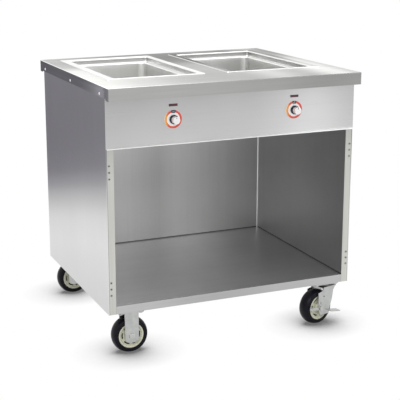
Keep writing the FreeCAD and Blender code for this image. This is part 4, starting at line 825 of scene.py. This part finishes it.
class TROLLEY_OT_controls(bpy.types.Operator):
    """Dial plates, knobs and pilot lamps"""

    bl_idname = "trolley.controls"
    bl_label = "Controls"

    def execute(self, context):
        _, plastics, sizes = props()
        print_finish = dial_material(plastics)
        cap_finish = cap_material()
        skirt = moulded("knob skirt", plastics.skirt, 0.42, 0.05)
        skirt.set(Specular_IOR_Level=0.2)
        bezel = moulded("lamp bezel", (0.02, 0.012, 0.02), 0.3, 0.05).material
        lens = moulded("lamp lens", plastics.lens, 0.16, 0.1).material
        ink = moulded("dial ink", (0.02, 0.02, 0.035), 0.4).material
        white = moulded("dial white", (0.85, 0.85, 0.85), 0.4).material
        for side in SIDES:
            low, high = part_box(side + "_dial_plate")
            middle = (low + high) / 2
            radius = (high.x - low.x) / 2
            hole, half = 5.1 * MM, 0.4 * MM
            plate = add_piece(side + "_dial_face", turned([
                (hole, -half), (hole, half), (radius - 0.5 * MM, half),
                (radius - 0.1 * MM, 0.25 * MM), (radius, 0.0), (radius, -half),
                (hole, -half)], middle, (0, -1, 0), 128),
                print_finish, "cabinet", (side + "_dial_plate",))
            plane_uv(plate, middle, 2 * radius)
            self.off_mark(side, middle, low.y, ink, white)
            self.knob(side, skirt.material, cap_finish, sizes)
            self.lamp(side, bezel, lens)
        return {"FINISHED"}

    def off_mark(self, side, middle, face, ink, white):
        """A dark block with the word OFF at the top of the dial.

        The block is a piece of a ring, between two radii and two angles, carried backwards.
        """
        angle = np.radians(np.linspace(74, 106, 17))[:, None]
        radius = np.linspace(20.8, 30.6, 5)[None, :] * MM
        x = middle.x + radius * np.cos(angle)
        z = middle.z + radius * np.sin(angle)
        front = np.stack([x, 0 * x + face - 0.12 * MM, z], -1)
        back = front + np.array([0, 0.10 * MM, 0])
        loop = np.stack([front, back])
        rows, columns = front.shape[:2]
        faces = [grid_faces(rows, columns), grid_faces(rows, columns) + rows * columns]
        edge = np.concatenate([np.arange(columns), np.arange(1, rows) * columns + columns - 1,
                               (rows - 1) * columns + np.arange(columns - 2, -1, -1),
                               np.arange(rows - 2, 0, -1) * columns])
        after = np.roll(edge, -1)
        faces.append(np.stack([edge, after, after + rows * columns, edge + rows * columns], 1))
        add_piece(side + "_off_block", (loop, np.concatenate(faces)), ink, "cabinet")
        curve = bpy.data.curves.new("off", "FONT")
        curve.body = "OFF"
        curve.size = 5.0 * MM
        curve.align_x = "CENTER"
        curve.align_y = "CENTER"
        curve.extrude = 0.04 * MM
        maker = added("off", curve)
        bpy.context.view_layer.update()
        mesh = bpy.data.meshes.new_from_object(maker)
        bpy.data.objects.remove(maker)
        place = Matrix.Translation((middle.x, face - 0.15 * MM, middle.z + 25.6 * MM))
        mesh.transform(place @ Matrix.Rotation(math.radians(90), 4, "X"))
        mesh.name = side + "_off_word"
        mesh.materials.clear()
        mesh.materials.append(white)
        word = added(side + "_off_word", mesh)
        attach(word, "cabinet")

    def knob(self, side, skirt_finish, cap_finish, sizes):
        """Ribbed skirt and turned cap of a knob.

        The skirt's radius shrinks by a raised cosine of 24 waves round the knob, cubed.
        """
        low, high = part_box(side + "_knob")
        centre = Vector(((low.x + high.x) / 2, high.y, (low.z + high.z) / 2))
        reach = high.y - low.y
        outer, cap = sizes.skirt, sizes.cap
        step, bore, shoulder = 12 * MM, 5.9 * MM, 1.6 * MM
        skirt = [(bore, 0.0), (outer - 0.6 * MM, 0.0), (outer, 0.6 * MM), (outer, 5.0 * MM)]
        skirt += arc((outer - shoulder, step - shoulder), shoulder, 0, 80, 8)
        skirt += [(cap + 0.6 * MM, step), (cap + 0.1 * MM, step)]
        inner = [(cap + 0.1 * MM, step - 1 * MM), (bore, step - 1 * MM), (bore, 0.0)]

        def ribs(radius, height, angle):
            out = smoothstep(radius, outer - 1.2 * MM, outer - 0.1 * MM)
            wave = 0.5 + 0.5 * np.cos(24 * angle)
            return radius - sizes.knob_rib * out * wave ** 3, height

        add_piece(side + "_knob_skirt", turned(skirt + inner, centre, (0, -1, 0), 192, ribs),
                  skirt_finish, side + "_dial", (side + "_knob",))
        profile = [(0.0, step - 0.9 * MM), (cap, step - 0.9 * MM), (cap, reach - 1.6 * MM)]
        profile += arc((cap - 1.2 * MM, reach - 1.2 * MM), 1.2 * MM, 0, 90, 6)
        profile += [(cap * 0.82, reach), (cap * 0.80, reach - 0.25 * MM), (0.0, reach - 0.25 * MM)]
        piece = add_piece(side + "_knob_cap", turned(profile, centre, (0, -1, 0), 96),
                          cap_finish, side + "_dial")
        plane_uv(piece, centre, 2 * cap)
        # the pointer: a narrow strip from the middle to the edge of the cap's face
        run = np.linspace(0, 0.625, 6)[:, None]
        width = np.linspace(-0.8, 0.8, 3)[None, :] * MM
        z = centre.z + (5.6 + 9.0 * run + 0 * width) * MM
        y = centre.y - (reach + 0.02 * MM) + 0 * z
        block = (np.stack([centre.x + width + 0 * run, y, z], -1), grid_faces(6, 3))
        piece = add_piece(side + "_knob_pointer", block, skirt_finish, side + "_dial")
        sheet = piece.modifiers.new("Sheet", "SOLIDIFY")
        sheet.thickness = 0.2 * MM

    def lamp(self, side, bezel, lens):
        """Bezel with a ribbed lens.

        The lens rises by smooth steps from its four edges, with a cosine of 8 waves across.
        """
        dressed_copy(side + "_pilot_lamp", bezel, 0.0005)
        low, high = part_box(side + "_pilot_lamp")
        u = np.linspace(0, 1, 81)[:, None]
        v = np.linspace(0, 1, 9)[None, :]
        inset = 1.4 * MM
        x = low.x + inset + (high.x - low.x - 2 * inset) * u + 0 * v
        z = low.z + inset + (high.z - low.z - 2 * inset) * v + 0 * u
        edge = smoothstep(np.minimum(u, 1 - u), 0, 0.05) * smoothstep(np.minimum(v, 1 - v), 0, 0.2)
        y = low.y - edge * (0.35 + 0.12 * np.cos(2 * np.pi * 8 * u)) * MM
        cover = add_piece(side + "_lamp_lens", (np.stack([x, y, z], -1), grid_faces(81, 9)),
                          lens, "cabinet")
        face_towards(cover, (0, -1, 0))


class TROLLEY_OT_wheels(bpy.types.Operator):
    """Tyres and hubs"""

    bl_idname = "trolley.wheels"
    bl_label = "Wheels"

    def execute(self, context):
        _, plastics, sizes = props()
        tyre_finish = rubber("tyre rubber", plastics.tyre)
        hub_finish = self.hub_material(plastics)
        for corner in CORNERS:
            joint = JOINTS[corner + "_wheel_roll"]
            centre, axis = joint["pos_m"], joint["axis"]
            self.tyre(corner, centre, axis, tyre_finish, sizes)
            self.hub(corner, centre, axis, hub_finish)
        return {"FINISHED"}

    def tyre(self, corner, centre, axis, finish, sizes):
        """Crowned tread, rounded shoulders, and a moulded ring on each side wall.

        The tread is an arc across the wheel. The groove and the ridge of the ring are bell
        curves of the radius, pushed in and out along the axle.
        """
        half, bead, shoulder, crown = 23 * MM, 44.8 * MM, 57.5 * MM, 63.5 * MM
        side = [(bead, half - 1.0 * MM), (bead + 1.2 * MM, half - 0.2 * MM),
                (bead + 2.5 * MM, half)]
        side += [(r * MM, half - (r - 47.3) * 0.10 * MM) for r in np.linspace(48, 55, 22)]
        side += [(shoulder - 1.0 * MM, half - 1.3 * MM), (shoulder + 0.3 * MM, half - 2.2 * MM)]
        bow = 39.75 * MM
        tread = [(crown - bow + math.sqrt(bow ** 2 - y ** 2), y)
                 for y in np.linspace(19.8 * MM, -19.8 * MM, 25)]
        other = [(r, -y) for r, y in reversed(side)]
        inner = [(bead, y * MM) for y in np.linspace(-20, 20, 5)]
        profile = side + tread + other + inner + [side[0]]

        def rings(radius, height, angle):
            groove = np.exp(-((radius - 52.0 * MM) / (0.8 * MM)) ** 2)
            ridge = np.exp(-((radius - 49.3 * MM) / (0.6 * MM)) ** 2)
            wall = smoothstep(np.abs(height), 20 * MM, 21.5 * MM)
            push = (0.5 * ridge - groove) * sizes.tyre_groove * wall
            return radius, height + np.sign(height) * push

        add_piece(corner + "_tyre_skin", turned(profile, centre, axis, 144, rings), finish,
                  corner + "_wheel", (corner + "_tyre",), 50)

    def hub_material(self, plastics):
        """Cream moulded hub with painted shade in its slots, darker with their depth."""
        s = moulded("hub plastic", plastics.hub, 0.38, 0.05)
        depth = s.add("ShaderNodeAttribute").outputs["Fac"]
        depth.node.attribute_name = "depth"
        base = s.main.inputs["Base Color"].links[0].from_socket
        s.set(Base_Color=s.mix("MIX", s.between(depth, 0.1, 0.8, 0.0, 1.0, True), base,
                               rgba(plastics.slot)))
        return s.material

    def hub(self, corner, centre, axis, finish):
        """Hub turned from one profile, with six curved slots sunk in each web.

        A slot is where the distance to an arc's middle line is less than half the slot's
        width; the web sinks there by a smooth step of that distance.
        """
        face = [(8.0, 25.8), (12.8, 25.8), (13.8, 24.8), (14.3, 19.5), (15.5, 18.2), (17.0, 18.0)]
        face += [(r, 18.0) for r in np.linspace(18, 36, 55)]
        face += [(37.2, 18.3), (38.0, 19.2), (38.4, 20.9), (39.2, 21.5), (43.5, 21.5),
                 (44.5, 20.9)]
        profile = face + [(44.5, y) for y in np.linspace(18, -18, 5)]
        profile += [(r, -y) for r, y in reversed(face)] + [(8.0, 25.8)]
        profile = np.array(profile) * MM
        depth = {}

        def slots(radius, height, angle):
            sector = (angle + np.pi / 6) % (np.pi / 3) - np.pi / 6
            over = np.maximum(np.abs(sector) - math.radians(15.5), 0) * radius
            gap = np.hypot(radius - 31 * MM, over) - 2.5 * MM
            web = np.abs(np.abs(height) - 18 * MM) < 0.05 * MM
            sunk = (1 - smoothstep(gap, -0.35 * MM, 0.25 * MM)) * web
            depth["value"] = sunk
            return radius, height - np.sign(height) * sunk * 7 * MM

        block = turned(profile, centre, axis, 288, slots)
        add_piece(corner + "_hub_moulding", block, finish, corner + "_wheel",
                  (corner + "_hub",), 50, ("depth", depth["value"]))


class TROLLEY_OT_casters(bpy.types.Operator):
    """Forks, plates, axles and brake levers"""

    bl_idname = "trolley.casters"
    bl_label = "Casters"

    def execute(self, context):
        metal = props()[0]
        plate = zinc("zinc plate", metal.zinc)
        bolt = zinc("zinc bolt", (0.58, 0.58, 0.56), 0.36)
        race = zinc("ball race", (0.16, 0.155, 0.15), 0.34)
        # painted shade: a dark copy of the zinc for the fork's crown under the top plate
        crown = zinc("zinc crown", (0.17, 0.17, 0.17), 0.3)
        for corner in CORNERS:
            piece = dressed_copy(corner + "_fork", plate, 0.0006)
            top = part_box(corner + "_fork")[1].z
            finish_faces(piece, lambda spot, out: (abs(out[0]) < 0.6)
                         & (spot[2] > top - 0.016), crown)
            dressed_copy(corner + "_axle", bolt, 0.0005)
        for corner in ("fr", "rr"):
            dressed_copy(corner + "_top_plate", plate, 0.0005)
            dressed_copy(corner + "_swivel_bearing", race, 0.0004)
            dressed_copy(corner + "_brake_lever", plate, 0.0006)
        return {"FINISHED"}


class TROLLEY_OT_fasteners(bpy.types.Operator):
    """Screws, hinge inserts, caster bolts and the cord gland"""

    bl_idname = "trolley.fasteners"
    bl_label = "Fasteners"

    def execute(self, context):
        metal = props()[0]
        bright = zinc("bright screw", (0.85, 0.85, 0.85), 0.2)
        dressed_copy("flange_screws", bright, 0.0)
        dressed_copy("hinge_inserts", zinc("insert zinc", (0.42, 0.42, 0.40), 0.4), 0.0)
        dressed_copy("caster_bolts", zinc("caster bolt zinc", metal.zinc, 0.4), 0.0004)
        gland = moulded("gland plastic", (0.02, 0.02, 0.02), 0.45).material
        dressed_copy("cord_gland", gland, 0.0005)
        return {"FINISHED"}


# ---- stage ----

def seen_white(tree):
    """1 for camera, glossy and transmission rays, 0 for the others."""
    path = tree.nodes.new("ShaderNodeLightPath")
    total = path.outputs["Is Camera Ray"]
    for name in ("Is Glossy Ray", "Is Transmission Ray"):
        add = tree.nodes.new("ShaderNodeMath")
        add.operation = "MAXIMUM"
        tree.links.new(total, add.inputs[0])
        tree.links.new(path.outputs[name], add.inputs[1])
        total = add.outputs[0]
    return total


class TROLLEY_OT_stage(bpy.types.Operator):
    """Floor, soft studio light and the camera"""

    bl_idname = "trolley.stage"
    bl_label = "Stage"

    def execute(self, context):
        self.floor()
        self.world()
        self.light("key softbox", (-2.2, -2.6, 3.2), (0, 0, 0.5), 2.4, 2.0, 70)
        self.light("fill softbox", (3.0, -2.2, 2.2), (0, 0, 0.5), 2.2, 2.2, 35)
        self.light("top softbox", (0.2, 0.6, 3.4), (0, 0, 0.9), 2.6, 2.6, 35)
        self.camera()
        bpy.context.scene.view_settings.view_transform = "Standard"
        return {"FINISHED"}

    def floor(self):
        """White floor with a painted shadow where the wheels stand close over it."""
        mesh = bpy.data.meshes.new("floor")
        reach = 14.0
        mesh.from_pydata([(x * reach, y * reach, 0) for x, y in
                          ((-1, -1), (1, -1), (1, 1), (-1, 1))], [], [(0, 1, 2, 3)])
        floor = added("floor", mesh)
        s = Shader("floor white")
        s.set(Base_Color=(0.8, 0.8, 0.8, 1), Roughness=1.0, Specular_IOR_Level=0.0)
        tree = s.tree
        # painted shadow: ambient occlusion near the wheels darkens the floor's white glow
        shade = s.add("ShaderNodeAmbientOcclusion", Distance=0.148)
        shade.samples = 8
        dark = s.between(shade.outputs["AO"], 0.50, 1.0, 0.16, 1.0)
        painted_shadow_glow = s.add("ShaderNodeEmission", Color=s.mix("MIX", dark, (0, 0, 0, 1), (1, 1, 1, 1)),
                    Strength=1.0)
        both = s.add("ShaderNodeMixShader", Fac=seen_white(tree), _1=s.main.outputs[0],
                     _2=painted_shadow_glow.outputs[0])
        tree.links.new(both.outputs[0], tree.nodes["Material Output"].inputs["Surface"])
        mesh.materials.append(s.material)

    def world(self):
        """White to the camera and in reflections, softer as a light."""
        world = bpy.data.worlds.new("studio")
        bpy.context.scene.world = world
        world.use_nodes = True
        tree = world.node_tree
        mix = tree.nodes.new("ShaderNodeMixShader")
        tree.links.new(seen_white(tree), mix.inputs[0])
        for index, (back, strength) in enumerate((
                (tree.nodes["Background"], 0.55), (tree.nodes.new("ShaderNodeBackground"), 1.0))):
            back.inputs["Color"].default_value = (1, 1, 1, 1)
            back.inputs["Strength"].default_value = strength
            tree.links.new(back.outputs[0], mix.inputs[index + 1])
        tree.links.new(mix.outputs[0], tree.nodes["World Output"].inputs["Surface"])

    def light(self, name, spot, target, width, height, power):
        """A rectangular softbox that looks at a point."""
        lamp = bpy.data.lights.new(name, "AREA")
        lamp.shape = "RECTANGLE"
        lamp.size = width
        lamp.size_y = height
        lamp.energy = power
        item = added(name, lamp)
        item.location = spot
        look = Vector(target) - Vector(spot)
        item.rotation_euler = look.to_track_quat("-Z", "Y").to_euler()

    def camera(self):
        """The photograph's viewpoint; the lens and its middle are in pixels of the photograph."""
        focal, across, down, frame_size = 1064.96, 163.52, 179.01, 400
        lens = bpy.data.cameras.new("view")
        lens.sensor_width = 36.0
        lens.lens = focal / frame_size * lens.sensor_width
        lens.shift_x = (frame_size / 2 - across) / frame_size
        lens.shift_y = (down - frame_size / 2) / frame_size
        lens.clip_end = 60
        item = added("view", lens)
        yaw, pitch, roll = (math.radians(a) for a in (21.55, 13.53, -0.45))
        ahead = Vector((math.sin(yaw) * math.cos(pitch), math.cos(yaw) * math.cos(pitch),
                        -math.sin(pitch)))
        right = Vector((math.cos(yaw), -math.sin(yaw), 0))
        up = right.cross(ahead)
        tilt_right = right * math.cos(roll) + up * math.sin(roll)
        tilt_up = up * math.cos(roll) - right * math.sin(roll)
        matrix = Matrix((tilt_right, tilt_up, -ahead)).transposed().to_4x4()
        matrix.translation = (-1.50793, -3.52374, 1.41607)
        item.matrix_world = matrix
        bpy.context.scene.camera = item


# ---- add-on ----

OPERATORS = (TROLLEY_OT_worktop, TROLLEY_OT_wells, TROLLEY_OT_cabinet, TROLLEY_OT_cupboard,
             TROLLEY_OT_hidden, TROLLEY_OT_controls, TROLLEY_OT_wheels, TROLLEY_OT_casters,
             TROLLEY_OT_fasteners, TROLLEY_OT_stage)


class TROLLEY_PT_sidebar(bpy.types.Panel):
    """Settings of the trolley and a button for each group of pieces"""

    bl_idname = "TROLLEY_PT_sidebar"
    bl_label = "Serving trolley"
    bl_space_type = "VIEW_3D"
    bl_region_type = "UI"
    bl_category = "Trolley"

    def draw(self, context):
        for group in props():
            box = self.layout.box()
            for name in group.bl_rna.properties.keys():
                if name not in ("rna_type", "name"):
                    box.prop(group, name)
        for operator in OPERATORS:
            self.layout.operator(operator.bl_idname)


CLASSES = (*GROUPS.values(), *OPERATORS, TROLLEY_PT_sidebar)


def register():
    """Adds the classes and the scene's settings."""
    for item in CLASSES:
        bpy.utils.register_class(item)
    for key, group in GROUPS.items():
        setattr(bpy.types.Scene, key, bpy.props.PointerProperty(type=group))


def unregister():
    """Removes them again."""
    for key in GROUPS:
        delattr(bpy.types.Scene, key)
    for item in reversed(CLASSES):
        bpy.utils.unregister_class(item)


def main():
    """Builds the trolley."""
    register()
    for operator in OPERATORS:
        group, name = operator.bl_idname.split(".")
        getattr(getattr(bpy.ops, group), name)()


if __name__ == "__main__":
    main()
